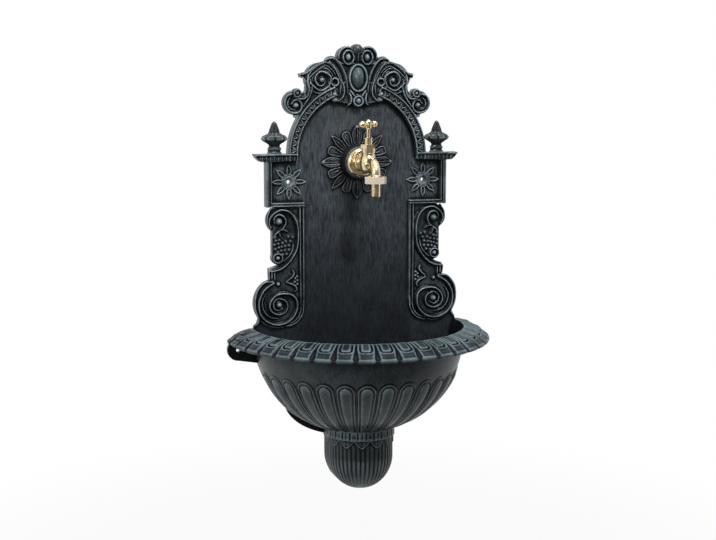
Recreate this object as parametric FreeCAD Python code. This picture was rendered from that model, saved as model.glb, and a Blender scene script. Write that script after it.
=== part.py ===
"""Garden wall fountain: a cast back plate with a crest, scrolls and finials, a fluted half-round
basin with a pendant that hides the waste, and a brass bib tap on a leaf rosette.

Units are millimetres. The wall is the plane Y = 0 and the fountain stands out of it towards -Y.
The origin is the middle of the line through the two upper wall screws, +Z is up.
"""
import FreeCAD, Part

import math
import os

V = FreeCAD.Vector
X_AXIS, Y_AXIS, Z_AXIS = V(1, 0, 0), V(0, 1, 0), V(0, 0, 1)

# Wall and clearances
FACE_GAP = 0.3          # gap between castings that only lie beside each other
RUNNING_GAP = 0.05      # radial clearance of a shaft that turns in its bore
SLIP_GAP = 0.2          # radial clearance of a bolt or pipe in its hole
THREAD_GAP = 0.05       # radial clearance of a plain cylinder that stands for a thread

# Back plate: levels out from the wall
FIELD_T = 8.0           # plain field
SCROLL_T = 10.0         # ground of the side scrolls
CROWN_T = 12.0          # ground of the crest
MOULD_T = 15.0          # lower step of the blocks' mouldings
RAISED_T = 19.0         # spiral bands, mouldings and the arch band
SHELF_T = 22.0          # cornice over each block
HOLLOW_WALL = 6.0       # metal left in front of the hollows in the back

# Back plate: arch and cornice
ARCH_Z = 42.0           # height of the arch's centre
ARCH_R = 114.0          # outer radius of the arch
ARCH_BAND = 15.0        # width of the carved band
FILLET_W = 2.4          # plain fillet round the band
SHELF_TOP = 44.5
SHELF_H = 10.5
SHELF_TIP_X = 169.0
SHELF_INNER_X = 100.0

# Back plate: pilaster blocks, wall screws and stars
BLOCK_X0, BLOCK_X1 = 88.0, 150.0
BLOCK_Z0 = -39.0
FRAME_W = 6.5
SCREW_X = 112.0         # each upper wall screw, on the origin's level
SCREW_HOLE_R = 3.25
STAR_R = 27.5
STAR_PETALS = 8
STAR_RING_R = 11.0
STAR_RING_W = 3.5
STAR_PROUD = 3.6
STAR_EDGE = 1.0         # how far a petal's edge stands proud, lower than its keel
PETAL_W = 7.6
PETAL_BASE_W = 3.2

# Back plate: side scrolls, from the block down
UPPER_SCROLL = (127.0, -60.0, 22.0)      # x, z, radius
GRAPE_NECK_X = 140.5
GRAPE_R = 4.0
GRAPE_H = 4.2
GRAPE_ROWS = ((-93.0, 111.5, 3), (-99.5, 114.0, 3), (-106.0, 118.0, 2))      # z, first x, how many
LOWER_BALL = (131.5, -120.0, 10.0)
TIP_X, TIP_Z0, TIP_Z1 = 146.0, -154.0, -136.0
VOLUTE = (130.6, -192.0, 40.0)
VOLUTE_EYE_R = 6.0
UPPER_RADII = (20.5, 20.5, 18.5, 13.5, 11.0)                            # the same for the upper scroll
VOLUTE_RADII = (38.0, 33.0, 30.5, 29.7, 22.5, 15.5, 13.6, 13.6, 10.0)   # one for each quarter turn
STRIP_X0, STRIP_X1 = 89.0, 95.0          # upright bead inside each scroll
STRIP_TURN_R = 29.0

# Back plate: foot that stands inside the basin
FOOT_X = 170.0          # widest part of the foot, just above the rim
FOOT_Z = -228.0
TONGUE_X = 146.0        # tongue in the pocket behind the basin's back wall
TONGUE_Z = -318.0

# Crest
CREST_TOP = 215.5
CREST_LOBE = (18.3, 196.0, 15.0)
CREST_LEAF = (42.0, 186.0, 10.5)
CREST_SCROLL = (61.5, 161.5, 24.5)
CREST_CURL = (102.0, 124.0, 19.0)
CREST_KNOB = (98.5, 138.5, 7.5)
CREST_SPUR = ((78.0, 172.0), (94.5, 169.0), (93.0, 163.5), (80.0, 160.0))
CREST_NECK = ((84.0, 150.0), (84.5, 143.0), (90.0, 136.0), (80.0, 118.0))
CREST_APRON = ((0.0, 121.0), (14.0, 122.0), (28.0, 124.5), (40.0, 126.0), (47.0, 134.0), (44.0, 150.0),
               (0.0, 160.0))
CREST_RIBBON = ((44.0, 164.0), (36.0, 165.0), (28.5, 158.0), (24.0, 149.0), (23.5, 138.0), (27.5, 130.0),
                (35.0, 126.5))
CREST_SCROLL_RADII = (21.5, 19.0, 14.5, 10.0, 6.5)
CREST_CURL_RADII = (16.5, 14.0, 10.0, 6.5)
CABOCHON_Z = 162.5
CABOCHON_W, CABOCHON_H = 20.0, 35.0
CABOCHON_RING = 5.0
CABOCHON_GAP = 1.5      # groove between the boss and its ring
PEARL_Z = 126.4
PEARL_R = 4.5
PEARL_RING_R = 9.2

# Finials on the cornice
FINIAL_X = 135.0
FINIAL_FLAT = 0.42      # depth over width
FINIAL_Y = -9.5
FINIAL_PROFILE = ((10.8, 0.0), (10.8, 9.0), (8.4, 12.5), (9.6, 16.5), (16.5, 19.5), (21.3, 24.0),
                  (20.0, 28.0), (11.5, 31.5), (8.4, 36.0), (4.6, 46.5), (0.0, 51.5))

# Basin
BASIN_AXIS_Y = -16.0    # centre of the round part, in front of the wall
RIM_R = 212.0
RIM_INNER_R = 171.0
RIM_Z = -232.0
LIP_Z = -250.0
LIP_H = 4.5
BOWL_R = 166.0
BOWL_Z = -279.0         # where the bowl meets the rim
BOWL_WALL = 6.5
THROAT_R, THROAT_Z = 165.0, -252.0       # inner side under the rim's edge
BOWL_FOOT_R = 58.0
BOWL_FOOT_Z = -394.0
BOWL_UPPER = ((BOWL_R, BOWL_Z), (150.0, -321.0), (112.0, -366.0))
BOWL_LOWER = ((112.0, -366.0), (86.0, -382.5), (BOWL_FOOT_R, BOWL_FOOT_Z))
FLOOR_T = 6.0
BACK_WALL = 14.0
RIM_BLOCKS = 19
RIM_SLOT_W = 3.4
RIM_SLOT_D = 2.2
FLUTES = 15
FLUTE_TOP_Z = -302.0
FLUTE_PROUD = 2.4
EAR_X, EAR_Z, EAR_R = 196.0, -265.0, 17.0
EAR_T = 8.0
EAR_HOLE_R = 3.25
LOBE_R, LOBE_Z, LOBE_H = 120.0, -355.0, 62.0

# Basin fixings: bolts from behind the plate's tongue into the basin
BOLT_R = 3.0
BOLT_XS = (-125.0, -50.0, 50.0, 125.0)
BOLT_Z = -300.0
BOLT_HEAD_R = 6.0
BOLT_HEAD_H = 3.2
BOLT_NUT_R = 5.8
BOLT_NUT_H = 7.0
BOLT_WASHER_R = 7.5
BOLT_WASHER_T = 1.5

# Pendant under the basin
PENDANT_R = 53.0
PENDANT_AXIS_Y = -27.0
PENDANT_BOTTOM_Z = -500.0
PENDANT_SPRING_Z = -444.0
PENDANT_WALL = 5.0
PENDANT_FLUTES = 23
PENDANT_FLUTE_R = 1.7
PENDANT_FLUTE_TOP_Z, PENDANT_FLUTE_Z = -424.0, -458.0
COLLAR_R = 56.0
COLLAR_H = 15.0

# Waste
WASTE_Y = -45.0
WASTE_R = 16.0
WASTE_BORE_R = 12.0
WASTE_FLANGE_R = 24.0
WASTE_FLANGE_T = 2.5
WASTE_LENGTH = 46.0
GRATE_T = 2.5
GRATE_SLOTS = 8
GRATE_SCREW_R = 2.5
SEAL_T = 3.0
LOCK_NUT_T = 7.0
LOCK_NUT_R = 25.0
ELBOW_R = 19.0
ELBOW_TURN_R = 24.0
ELBOW_OVERLAP = 16.0
SLIP_NUT_R = 24.5
SLIP_NUT_H = 9.0

# Tap rosette
ROSETTE_R = 57.0
ROSETTE_HUB_R = 28.5
ROSETTE_FRONT = 32.0
ROSETTE_WALL = 5.0
ROSETTE_PETALS = 16
BROAD_LEAF_W = 18.0
NARROW_LEAF_W = 12.4
BOSS_R = 20.0
BOSS_T = 14.0

# Tap
TAP_Z = 30.0
SHANK_R = 10.4
SHANK_BORE_R = 7.5
SHANK_END_Y = -0.6
BACK_NUT_R = 16.0
BACK_NUT_T = 5.0
BACK_NUT_RECESS = 7.0
BACK_WASHER_T = 1.2
FLANGE_R = 23.5
FLANGE_T = 7.0
BARREL_R = 12.5
SPINDLE_Y = -70.0
CHAMBER_R = 11.5
CHAMBER_BORE_R = 8.5
CHAMBER_TOP_Z = 54.0
SEAT_Z = 36.0
SEAT_R = 5.0
NOZZLE_Y = -108.0
NOZZLE_R = 13.2
NOZZLE_TOP_Z = 14.0
NOZZLE_END_Z = 6.2
SPOUT_R = 7.2
SPOUT_BORE_R = 4.5
SPOUT_TURN_R = 18.0
SPOUT_RISE = 4.0

# Tap top works
BONNET_AF = 21.0
BONNET_TOP_Z = 60.0
BONNET_PLUG_Z = 47.0
NECK_R = 4.6
NECK_TOP_Z = 64.0
GLAND_R = 6.3
GLAND_TOP_Z = 70.0
GLAND_LIP_R = 7.6
PACKING_H = 3.0
SPINDLE_R = 3.0
SCREW_R = 5.0           # spindle's screwed part
SCREW_Z0, SCREW_Z1 = 41.0, 52.0
SCREW_BORE_TOP_Z = 57.8
SEAT_GAP = 0.02         # the closed valve's washer over its seat
JUMPER_R = 7.4
JUMPER_T = 2.6
JUMPER_PIN_R = 2.5
JUMPER_PIN_TOP_Z = 47.0
VALVE_WASHER_T = 2.0
HANDLE_Z = 91.0
HANDLE_HALF = 20.0
HANDLE_ANGLE = 45.0
HANDLE_BAR_R = 3.3
HANDLE_KNOB_R = 5.6
HANDLE_HUB_R = 5.2
HANDLE_HUB_Z0, HANDLE_HUB_Z1 = 84.0, 96.5
SQUARE = 4.4
CAP_NUT_R = 3.6
CAP_NUT_H = 2.2

# Tap outlet
UNION_AC = 34.8         # across corners
UNION_TOP_Z = 11.8
UNION_END_Z = 1.4
UNION_LIP = 2.0
TAIL_R = 7.2
TAIL_NECK_R = 6.7
TAIL_BORE_R = 5.0
TAIL_FLANGE_R = 12.4
TAIL_FLANGE_T = 1.6
TAIL_END_Z = -18.5


def box(x0, x1, y0, y1, z0, z1):
    """Box between two corners."""
    return Part.makeBox(x1 - x0, y1 - y0, z1 - z0, V(x0, y0, z0))


def rod(radius, start, direction, length):
    """Cylinder from a start point along a direction."""
    return Part.makeCylinder(radius, length, start, direction)


def ring(outer, inner, start, direction, length):
    """Tube with a bore."""
    return rod(outer, start, direction, length).cut(rod(inner, start, direction, length))


def union(shapes):
    """One solid from several that overlap."""
    return shapes[0].multiFuse(shapes[1:]).removeSplitter() if len(shapes) > 1 else shapes[0]


def both_sides(shape):
    """The shape with its mirror image across the middle."""
    return [shape, shape.mirror(V(0, 0, 0), X_AXIS)]


def slab(outline, back, front):
    """Outline of (x, z) corners, from `back` to `front` millimetres out of the wall."""
    wire = Part.makePolygon([V(x, -back, z) for x, z in outline + outline[:1]])
    return Part.Face(wire).extrude(V(0, back - front, 0))


def disc(x, z, radius, back, front):
    """Round slab seen from the front."""
    return rod(radius, V(x, -back, z), V(0, -1, 0), front - back)


def oval(x, z, half_w, half_h, back, front):
    """Oval slab seen from the front."""
    small, large = sorted((half_w, half_h))
    ellipse = Part.Ellipse(V(0, 0, 0), large, small)
    edge = ellipse.toShape()
    if half_h > half_w:
        edge.rotate(V(0, 0, 0), Z_AXIS, 90)
    edge.rotate(V(0, 0, 0), X_AXIS, 90)
    edge.translate(V(x, -back, z))
    return Part.Face(Part.Wire(edge)).extrude(V(0, back - front, 0))


def dome(x, z, radius, height, back):
    """Shallow round boss, a slice of a ball."""
    ball_r = (radius ** 2 + height ** 2) / (2 * height)
    ball = Part.makeSphere(ball_r, V(x, ball_r - back - height, z))
    return ball.common(disc(x, z, radius + 1, back, back + height + 1))


def arcs_through(points):
    """Edges through points taken in threes: each third point ends one arc and starts the next."""
    edges = []
    for a, b, c in zip(points[::2], points[1::2], points[2::2]):
        straight = (b - a).cross(c - b).Length < 1e-6
        edges.append(Part.makeLine(a, c) if straight else Part.Arc(a, b, c).toShape())
    return edges


def band(path, width, back, front):
    """Raised band of even width along a path of (x, z) points, an odd number of them."""
    points = [V(x, -back, z) for x, z in path]
    sides = [[], []]
    for i, point in enumerate(points):
        along = points[min(i + 1, len(points) - 1)] - points[max(i - 1, 0)]
        across = V(-along.z, 0, along.x).normalize() * (width / 2)
        sides[0].append(point + across)
        sides[1].append(point - across)
    edges = arcs_through(sides[0]) + arcs_through(sides[1])
    edges += [Part.makeLine(sides[0][i], sides[1][i]) for i in (0, -1)]
    return Part.Face(Part.Wire(Part.__sortEdges__(edges))).extrude(V(0, back - front, 0))


def spiral(x, z, radii, start_angle, step_angle):
    """Points of a scroll whose radius is given for each step of its turn."""
    points = []
    for i, radius in enumerate(radii):
        angle = math.radians(start_angle + i * step_angle)
        points.append((x + radius * math.cos(angle), z + radius * math.sin(angle)))
    return points


def eased(radii):
    """Radii with one value filled in between each two, so that each step is one arc."""
    filled = [radii[0]]
    for a, b in zip(radii, radii[1:]):
        filled += [(a + b) / 2, b]
    return filled


def star_petal(angle):
    """One petal of the star in roof form, with its keel from the ring to the tip."""
    start, middle, half, base = STAR_RING_R - 1.5, STAR_RING_R + 6.0, PETAL_W / 2, PETAL_BASE_W / 2
    along = V(math.cos(math.radians(angle)), 0, math.sin(math.radians(angle)))
    aside = V(-along.z, 0, along.x)
    centre = V(SCREW_X, 0, 0)
    corners = [(start, -base), (middle, -half), (STAR_R, 0.0), (middle, half), (start, base)]
    outline = [centre + along * u + aside * v for u, v in corners]
    petal = slab([(point.x, point.z) for point in outline], FIELD_T - 1, FIELD_T + STAR_PROUD)
    edge, keel = FIELD_T + STAR_EDGE, FIELD_T + STAR_PROUD
    section = [(-half, FIELD_T - 2), (-half, edge), (0.0, keel), (half, edge), (half, FIELD_T - 2)]
    wire = Part.makePolygon([centre + along * start + aside * v + V(0, -out, 0)
                             for v, out in section + section[:1]])
    return petal.common(Part.Face(wire).extrude(along * (STAR_R - start)))


def pilaster_block():
    """Right block with its cornice shelf, frame mouldings and star."""
    x0, x1, z0, z1 = BLOCK_X0, BLOCK_X1, BLOCK_Z0, SHELF_TOP - SHELF_H
    parts = [box(x0, x1, -FIELD_T, 0, z0, z1)]
    parts.append(box(x1 - FRAME_W - 2.5, x1, -MOULD_T, 0, z0, z1))
    parts.append(box(x1 - 4.0, x1, -RAISED_T, 0, z0, z1))
    parts.append(box(x0, x1, -MOULD_T, 0, z0, z0 + FRAME_W))
    parts.append(box(x0, x1, -RAISED_T + 1.5, 0, z0 + 1.5, z0 + FRAME_W - 2.0))
    front = FIELD_T + STAR_PROUD
    parts.append(ring_on_plate(SCREW_X, 0, STAR_RING_R, STAR_RING_R - STAR_RING_W, FIELD_T - 1, front))
    parts += [star_petal(i * 360 / STAR_PETALS) for i in range(STAR_PETALS)]
    shelf_z = SHELF_TOP - SHELF_H
    shelf = [(SHELF_INNER_X, shelf_z), (x1 + 1, shelf_z - 2), (SHELF_TIP_X - 9, shelf_z - 1),
             (SHELF_TIP_X - 3.5, shelf_z + 4), (SHELF_TIP_X, SHELF_TOP), (SHELF_INNER_X, SHELF_TOP)]
    parts.append(slab(shelf, 0, SHELF_T - 4))
    parts.append(slab([(SHELF_INNER_X, SHELF_TOP - 3.5), (SHELF_TIP_X - 1.5, SHELF_TOP - 3.5),
                       (SHELF_TIP_X, SHELF_TOP), (SHELF_INNER_X, SHELF_TOP)], 0, SHELF_T))
    return union(parts)


def ring_on_plate(x, z, outer, inner, back, front):
    """Raised ring seen from the front."""
    return disc(x, z, outer, back, front).cut(disc(x, z, inner, back, front))


def finial():
    """Right finial: a lobed vase in half relief, standing on the cornice."""
    outline = [(0, 0)] + list(FINIAL_PROFILE)
    face = Part.Face(Part.makePolygon([V(r, 0, z) for r, z in outline + outline[:1]]))
    body = face.revolve(V(0, 0, 0), Z_AXIS, 360)
    flatten = FreeCAD.Matrix()
    flatten.scale(1, FINIAL_FLAT, 1)
    body = body.transformGeometry(flatten)
    body.translate(V(FINIAL_X, FINIAL_Y, SHELF_TOP - 1.0))
    return body


def side_scrolls():
    """Right side below the block: upper scroll, neck, ball, tip, volute and upright bead."""
    ux, uz, ur = UPPER_SCROLL
    vx, vz, vr = VOLUTE
    lx, lz, lr = LOWER_BALL
    ground = [
        disc(ux, uz, ur, 0, SCROLL_T),
        box(STRIP_X0, GRAPE_NECK_X, -SCROLL_T, 0, lz, uz),
        box(STRIP_X0, ux, -SCROLL_T, 0, uz, BLOCK_Z0 + 1),
        disc(lx, lz, lr, 0, SCROLL_T),
        slab([(STRIP_X0, lz), (lx, lz), (lx, TIP_Z1 + 4), (TIP_X, TIP_Z1 - 1), (TIP_X - 0.5, TIP_Z0),
              (vx, vz + vr - 4), (STRIP_X0, vz + vr - 4)], 0, SCROLL_T),
        disc(vx, vz, vr, 0, SCROLL_T),
    ]
    volute_band = band(spiral(vx, vz + 2.0, eased(VOLUTE_RADII), 80, -45), 3.6, SCROLL_T - 1, RAISED_T)
    rim_band = ring_on_plate(vx, vz, vr, vr - 4.0, SCROLL_T - 1, SCROLL_T + 2.5)
    eye = dome(vx, vz + 3.0, VOLUTE_EYE_R, 5.0, SCROLL_T - 1)
    upper_band = band(spiral(ux + 1.0, uz - 1.0, eased(UPPER_RADII), 200, -45), 3.4, SCROLL_T - 1, RAISED_T)
    upper_eye = dome(ux + 2.0, uz - 2.0, 6.5, 5.0, SCROLL_T - 1)
    sweep = [(102.0, -92.0), (104.0, -110.0), (112.0, -124.5), (125.0, -135.5), (142.0, -141.0)]
    lower_sweep = band(sweep, 3.4, SCROLL_T - 1, RAISED_T)
    ball = dome(lx, lz, lr - 1.5, 6.0, SCROLL_T - 1)
    curl = band(spiral(vx - 17.0, -146.0, eased((15.0, 14.0, 11.0)), 150, -50), 3.0, SCROLL_T - 1, RAISED_T)
    strip = box(STRIP_X0, STRIP_X1, -FIELD_T - 4.5, 0, VOLUTE[1] - 10, BLOCK_Z0 + 1)
    turn = ring_on_plate(STRIP_X1 + STRIP_TURN_R - 3, VOLUTE[1] - 10, STRIP_TURN_R + 3, STRIP_TURN_R - 3,
                         0, FIELD_T + 4.5)
    quarter = box(STRIP_X0 - 1, STRIP_X1 + STRIP_TURN_R - 5, -RAISED_T, 0, FOOT_Z - 2, VOLUTE[1] - 10)
    grapes = [dome(x + i * 1.9 * GRAPE_R, z, GRAPE_R, GRAPE_H, SCROLL_T - 1)
              for z, x, count in GRAPE_ROWS for i in range(count)]
    return ground + grapes + [volute_band, rim_band, eye, upper_band, upper_eye, lower_sweep, ball, curl,
                              strip, turn.common(quarter)]


def crest():
    """Right half of the crest above the arch."""
    lobe, leaf, scroll, curl, knob = CREST_LOBE, CREST_LEAF, CREST_SCROLL, CREST_CURL, CREST_KNOB
    ground = [disc(x, z, r, 0, CROWN_T) for x, z, r in (lobe, leaf, scroll, curl, knob)]
    ground.append(slab(list(CREST_SPUR), 0, CROWN_T))
    fill = [(0, ARCH_Z), (0, lobe[1] + 8), lobe[:2], leaf[:2], (scroll[0] - 6, scroll[1] + 14), scroll[:2]]
    ground.append(slab(fill + list(CREST_NECK), 0, CROWN_T))
    ground.append(disc(0, CREST_TOP - 9.0, 9.0, 0, CROWN_T + 2))
    inside_arch = disc(0, ARCH_Z, ARCH_R - 1.0, -1, CROWN_T + 3)
    ground = [union(ground).cut(inside_arch)]
    ground.append(slab(list(CREST_APRON), 0, CROWN_T + 3))
    bands = [
        band(spiral(scroll[0] - 1.5, scroll[1] - 1.0, eased(CREST_SCROLL_RADII), 120, -45), 3.6,
             CROWN_T - 1, RAISED_T),
        band(spiral(curl[0], curl[1] - 1.0, eased(CREST_CURL_RADII), 150, 45), 3.4, CROWN_T - 1, RAISED_T),
        band(spiral(38.0, 156.0, eased((7.0, 6.4, 5.0)), 200, -60), 2.8, CROWN_T - 1, RAISED_T),
        band(list(CREST_RIBBON), 3.2, CROWN_T - 1, RAISED_T),
    ]
    eye = dome(scroll[0] - 1.5, scroll[1] - 1.0, 4.5, 4.0, CROWN_T - 1)
    pearl = dome(38.5, 137.0, 4.0, 4.5, CROWN_T - 1)
    curl_eye = dome(curl[0], curl[1] - 1.0, 4.5, 4.0, CROWN_T - 1)
    lobe_ring = oval(15.5, 194.5, 9.5, 12.0, CROWN_T - 1, CROWN_T + 4)
    lobe_ring = lobe_ring.cut(oval(15.5, 194.5, 6.0, 8.5, CROWN_T - 1, CROWN_T + 5))
    return ground + bands + [eye, pearl, curl_eye, lobe_ring]


def cabochon():
    """Oval boss in the middle of the crest, with its ring and the pearl below."""
    half_w, half_h = CABOCHON_W / 2, CABOCHON_H / 2
    ring_w, ring_h = half_w + CABOCHON_GAP, half_h + CABOCHON_GAP
    outer = oval(0, CABOCHON_Z, ring_w + CABOCHON_RING, ring_h + CABOCHON_RING, CROWN_T - 1, CROWN_T + 6)
    inner = oval(0, CABOCHON_Z, ring_w, ring_h, CROWN_T, CROWN_T + 7)
    turns = [math.radians(a) for a in range(-90, 91, 30)]
    outline = [V(half_w * math.cos(a), -CROWN_T, CABOCHON_Z + half_h * math.sin(a)) for a in turns]
    boss = Part.Face(Part.makePolygon(outline + outline[:1])).revolve(V(0, -CROWN_T, 0), Z_AXIS, 360)
    front_half = box(-CABOCHON_W, CABOCHON_W, -2 * RAISED_T, -CROWN_T + 1,
                     CABOCHON_Z - half_h, CABOCHON_Z + half_h)
    pearl = dome(0, PEARL_Z, PEARL_R, PEARL_R, RAISED_T)
    pearl_ring = disc(0, PEARL_Z, PEARL_RING_R, 0, RAISED_T + 1)
    return [outer.cut(inner), boss.common(front_half), pearl_ring, pearl]


def back_plate():
    """Plate with everything that is cast in one with it, hollowed from behind where it is thick."""
    disc_field = disc(0, ARCH_Z, ARCH_R, 0, FIELD_T)
    below = box(-ARCH_R - 5, ARCH_R + 5, -SHELF_T, 0, ARCH_Z - ARCH_R - 5, SHELF_TOP - SHELF_H)
    arch_field = disc_field.cut(below)
    band_ring = ring_on_plate(0, ARCH_Z, ARCH_R, ARCH_R - ARCH_BAND, 0, RAISED_T - 2).cut(below)
    fillet = ring_on_plate(0, ARCH_Z, ARCH_R, ARCH_R - FILLET_W, 0, RAISED_T + 1).cut(below)
    field = box(-UPPER_SCROLL[0], UPPER_SCROLL[0], -FIELD_T, 0, TONGUE_Z + 2, SHELF_TOP - SHELF_H)
    throat = basin_sides(-FACE_GAP)
    foot_half = [(0, VOLUTE[1] + 10), (STRIP_X0, VOLUTE[1] + 10), (163.0, -217.0), (165.0, -224.0),
                 (FOOT_X, FOOT_Z)] + throat
    foot_half += [(TONGUE_X, throat[-1][1]), (TONGUE_X, TONGUE_Z), (0, TONGUE_Z)]
    middle = union([arch_field, band_ring, fillet, field, disc(0, TAP_Z, BOSS_R, 0, BOSS_T)] + cabochon())
    right = [middle, pilaster_block(), finial(), slab(foot_half, 0, FIELD_T)] + side_scrolls() + crest()
    right = union(right).common(box(0, SHELF_TIP_X + 5, -3 * RAISED_T, 0, TONGUE_Z, CREST_TOP + 5))
    plate = union(both_sides(right))
    hollows = []
    for x, z, r in (UPPER_SCROLL, VOLUTE, CREST_SCROLL, CREST_CURL):
        hollows += both_sides(disc(x, z, r - HOLLOW_WALL, -1, SCROLL_T - HOLLOW_WALL))
    hollows.append(disc(0, CABOCHON_Z + 4, 26.0, -1, CROWN_T - HOLLOW_WALL))
    hollows += both_sides(disc(SCREW_X, 0, SCREW_HOLE_R, -1, FIELD_T + 1))
    hollows.append(disc(0, TAP_Z, SHANK_R + SLIP_GAP, -1, BOSS_T + 1))
    hollows.append(disc(0, TAP_Z, BACK_NUT_R + 1.5, -1, BACK_NUT_RECESS))
    for x in BOLT_XS:
        hollows.append(disc(x, BOLT_Z, BOLT_R + SLIP_GAP, -1, FIELD_T + 1))
        hollows.append(head_cone(x, SLIP_GAP))
    return plate.cut(hollows[0].multiFuse(hollows[1:]))


def head_cone(x, gap):
    """Countersink or countersunk head of one basin bolt, opening to the wall."""
    return Part.makeCone(BOLT_HEAD_R + gap, BOLT_R + gap, BOLT_HEAD_H, V(x, 0, BOLT_Z), V(0, -1, 0))


def bowl_curve(offset):
    """The bowl's outline as points for two arcs, moved outwards by an offset."""
    points = []
    for a, b, c in (BOWL_UPPER, BOWL_LOWER):
        arc = Part.Arc(V(a[0], 0, a[1]), V(b[0], 0, b[1]), V(c[0], 0, c[1])).toShape().Curve
        for x, z in (a, b, c):
            outward = V(x, 0, z) - arc.Center
            points.append(V(x, 0, z) + outward.normalize() * offset)
    middle = (points[2] + points[3]) * 0.5
    return points[:2] + [middle] + points[4:]


def half_round(edges, axis_y, back_y):
    """Outline of (r, z) edges turned half round an upright axis, with straight sides back to a plane."""
    face = Part.Face(Part.Wire(Part.__sortEdges__(edges)))
    round_part = face.revolve(V(0, 0, 0), Z_AXIS, -180)
    round_part.translate(V(0, axis_y, 0))
    sides = []
    for half in both_sides(face):
        half.translate(V(0, axis_y, 0))
        sides.append(half.extrude(V(0, back_y - axis_y, 0)))
    return union([round_part] + sides)


def chain(points):
    """Straight edges through a list of (r, z) points."""
    return [Part.makeLine(V(a[0], 0, a[1]), V(b[0], 0, b[1])) for a, b in zip(points, points[1:])]


def basin_outside():
    """Solid outer form of rim and bowl."""
    rim_top = Part.Arc(V(RIM_INNER_R, 0, RIM_Z), V(195.0, 0, RIM_Z - 6.0), V(RIM_R, 0, LIP_Z)).toShape()
    under = Part.Arc(V(RIM_R - 3, 0, LIP_Z - LIP_H), V(188.0, 0, -262.0), V(BOWL_R, 0, BOWL_Z)).toShape()
    edges = [rim_top, under] + arcs_through(bowl_curve(0))
    edges += chain([(RIM_R, LIP_Z), (RIM_R, LIP_Z - LIP_H + 1), (RIM_R - 3, LIP_Z - LIP_H)])
    edges += chain([(BOWL_FOOT_R, BOWL_FOOT_Z), (0, BOWL_FOOT_Z), (0, RIM_Z), (RIM_INNER_R, RIM_Z)])
    return half_round(edges, BASIN_AXIS_Y, 0)


def basin_inside():
    """Space inside the bowl, closed by the back wall."""
    inner = bowl_curve(-BOWL_WALL)
    floor_z = BOWL_FOOT_Z + FLOOR_T
    wall = arcs_through(inner[:-1] + [V(inner[-1].x, 0, floor_z)])
    edges = chain([(RIM_INNER_R, RIM_Z + 1)] + basin_sides(0)) + wall
    edges += chain([(inner[-1].x, floor_z), (0, floor_z), (0, RIM_Z + 1), (RIM_INNER_R, RIM_Z + 1)])
    return half_round(edges, BASIN_AXIS_Y, -BACK_WALL)


def basin_sides(gap):
    """Inner sides of rim and throat as (x, z) corners, moved outwards by a gap; the foot fits here."""
    inner = bowl_curve(-BOWL_WALL)[0]
    return [(RIM_INNER_R + gap, RIM_Z), (THROAT_R + gap, THROAT_Z), (inner.x + gap, inner.z)]


def foot_gap():
    """Room for the plate's foot: the whole throat down to the back wall, and the tongue's pocket below."""
    gap = FACE_GAP
    throat = [(0, RIM_Z + 1), (RIM_INNER_R, RIM_Z + 1)] + basin_sides(0)
    throat_z = throat[-1][1] - gap
    side_x, low_z = TONGUE_X + gap, TONGUE_Z - gap
    pocket = [(0, throat_z), (side_x, throat_z), (side_x, low_z), (0, low_z)]
    throat += [(throat[-1][0], throat_z), (0, throat_z)]
    return both_sides(slab(throat, -1, BACK_WALL + 1)) + both_sides(slab(pocket, -1, FIELD_T))


def flute(index):
    """Outline prism of one tongue of the gadrooned bowl, pointing out from the basin's axis."""
    angle = 180.0 + (index + 0.5) * 180.0 / FLUTES
    reach = BOWL_R + 10
    top_half = 12.6
    foot_half = 4.0
    foot_z = BOWL_FOOT_Z + 2.0
    round_z = FLUTE_TOP_Z - top_half
    arc = Part.Arc(V(0, -top_half, round_z), V(0, 0, FLUTE_TOP_Z), V(0, top_half, round_z)).toShape()
    left = Part.Arc(V(0, -top_half, round_z), V(0, -10.0, -352.0), V(0, -foot_half, foot_z)).toShape()
    right = Part.Arc(V(0, top_half, round_z), V(0, 10.0, -352.0), V(0, foot_half, foot_z)).toShape()
    foot = Part.makeLine(V(0, -foot_half, foot_z), V(0, foot_half, foot_z))
    prism = Part.Face(Part.Wire(Part.__sortEdges__([arc, left, right, foot]))).extrude(V(reach, 0, 0))
    prism.rotate(V(0, 0, 0), Z_AXIS, angle)
    prism.translate(V(0, BASIN_AXIS_Y, 0))
    return prism


def flute_skin():
    """Thin layer over the bowl that the tongues are cut from."""
    outer, inner = bowl_curve(FLUTE_PROUD), bowl_curve(-1.0)
    edges = arcs_through(outer) + arcs_through(inner)
    edges += [Part.makeLine(outer[0], inner[0]), Part.makeLine(outer[-1], inner[-1])]
    face = Part.Face(Part.Wire(Part.__sortEdges__(edges)))
    skin = face.revolve(V(0, 0, 0), Z_AXIS, -180)
    skin.translate(V(0, BASIN_AXIS_Y, 0))
    return skin


def rim_slot(index):
    """One groove between two blocks of the rim."""
    angle = 180.0 + (index + 1) * 180.0 / (RIM_BLOCKS + 1)
    depth = RIM_SLOT_D
    start_r, end_r, above = RIM_INNER_R + 9, RIM_R - 3.0, RIM_Z + 4
    outline = [(start_r, above), (start_r, RIM_Z - depth - 0.8), (199.0, -239.5 - depth),
               (end_r, LIP_Z - depth), (end_r, above)]
    wire = Part.makePolygon([V(r, -RIM_SLOT_W / 2, z) for r, z in outline + outline[:1]])
    groove = Part.Face(wire).extrude(V(0, RIM_SLOT_W, 0))
    groove.rotate(V(0, 0, 0), Z_AXIS, angle)
    groove.translate(V(0, BASIN_AXIS_Y, 0))
    return groove


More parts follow.
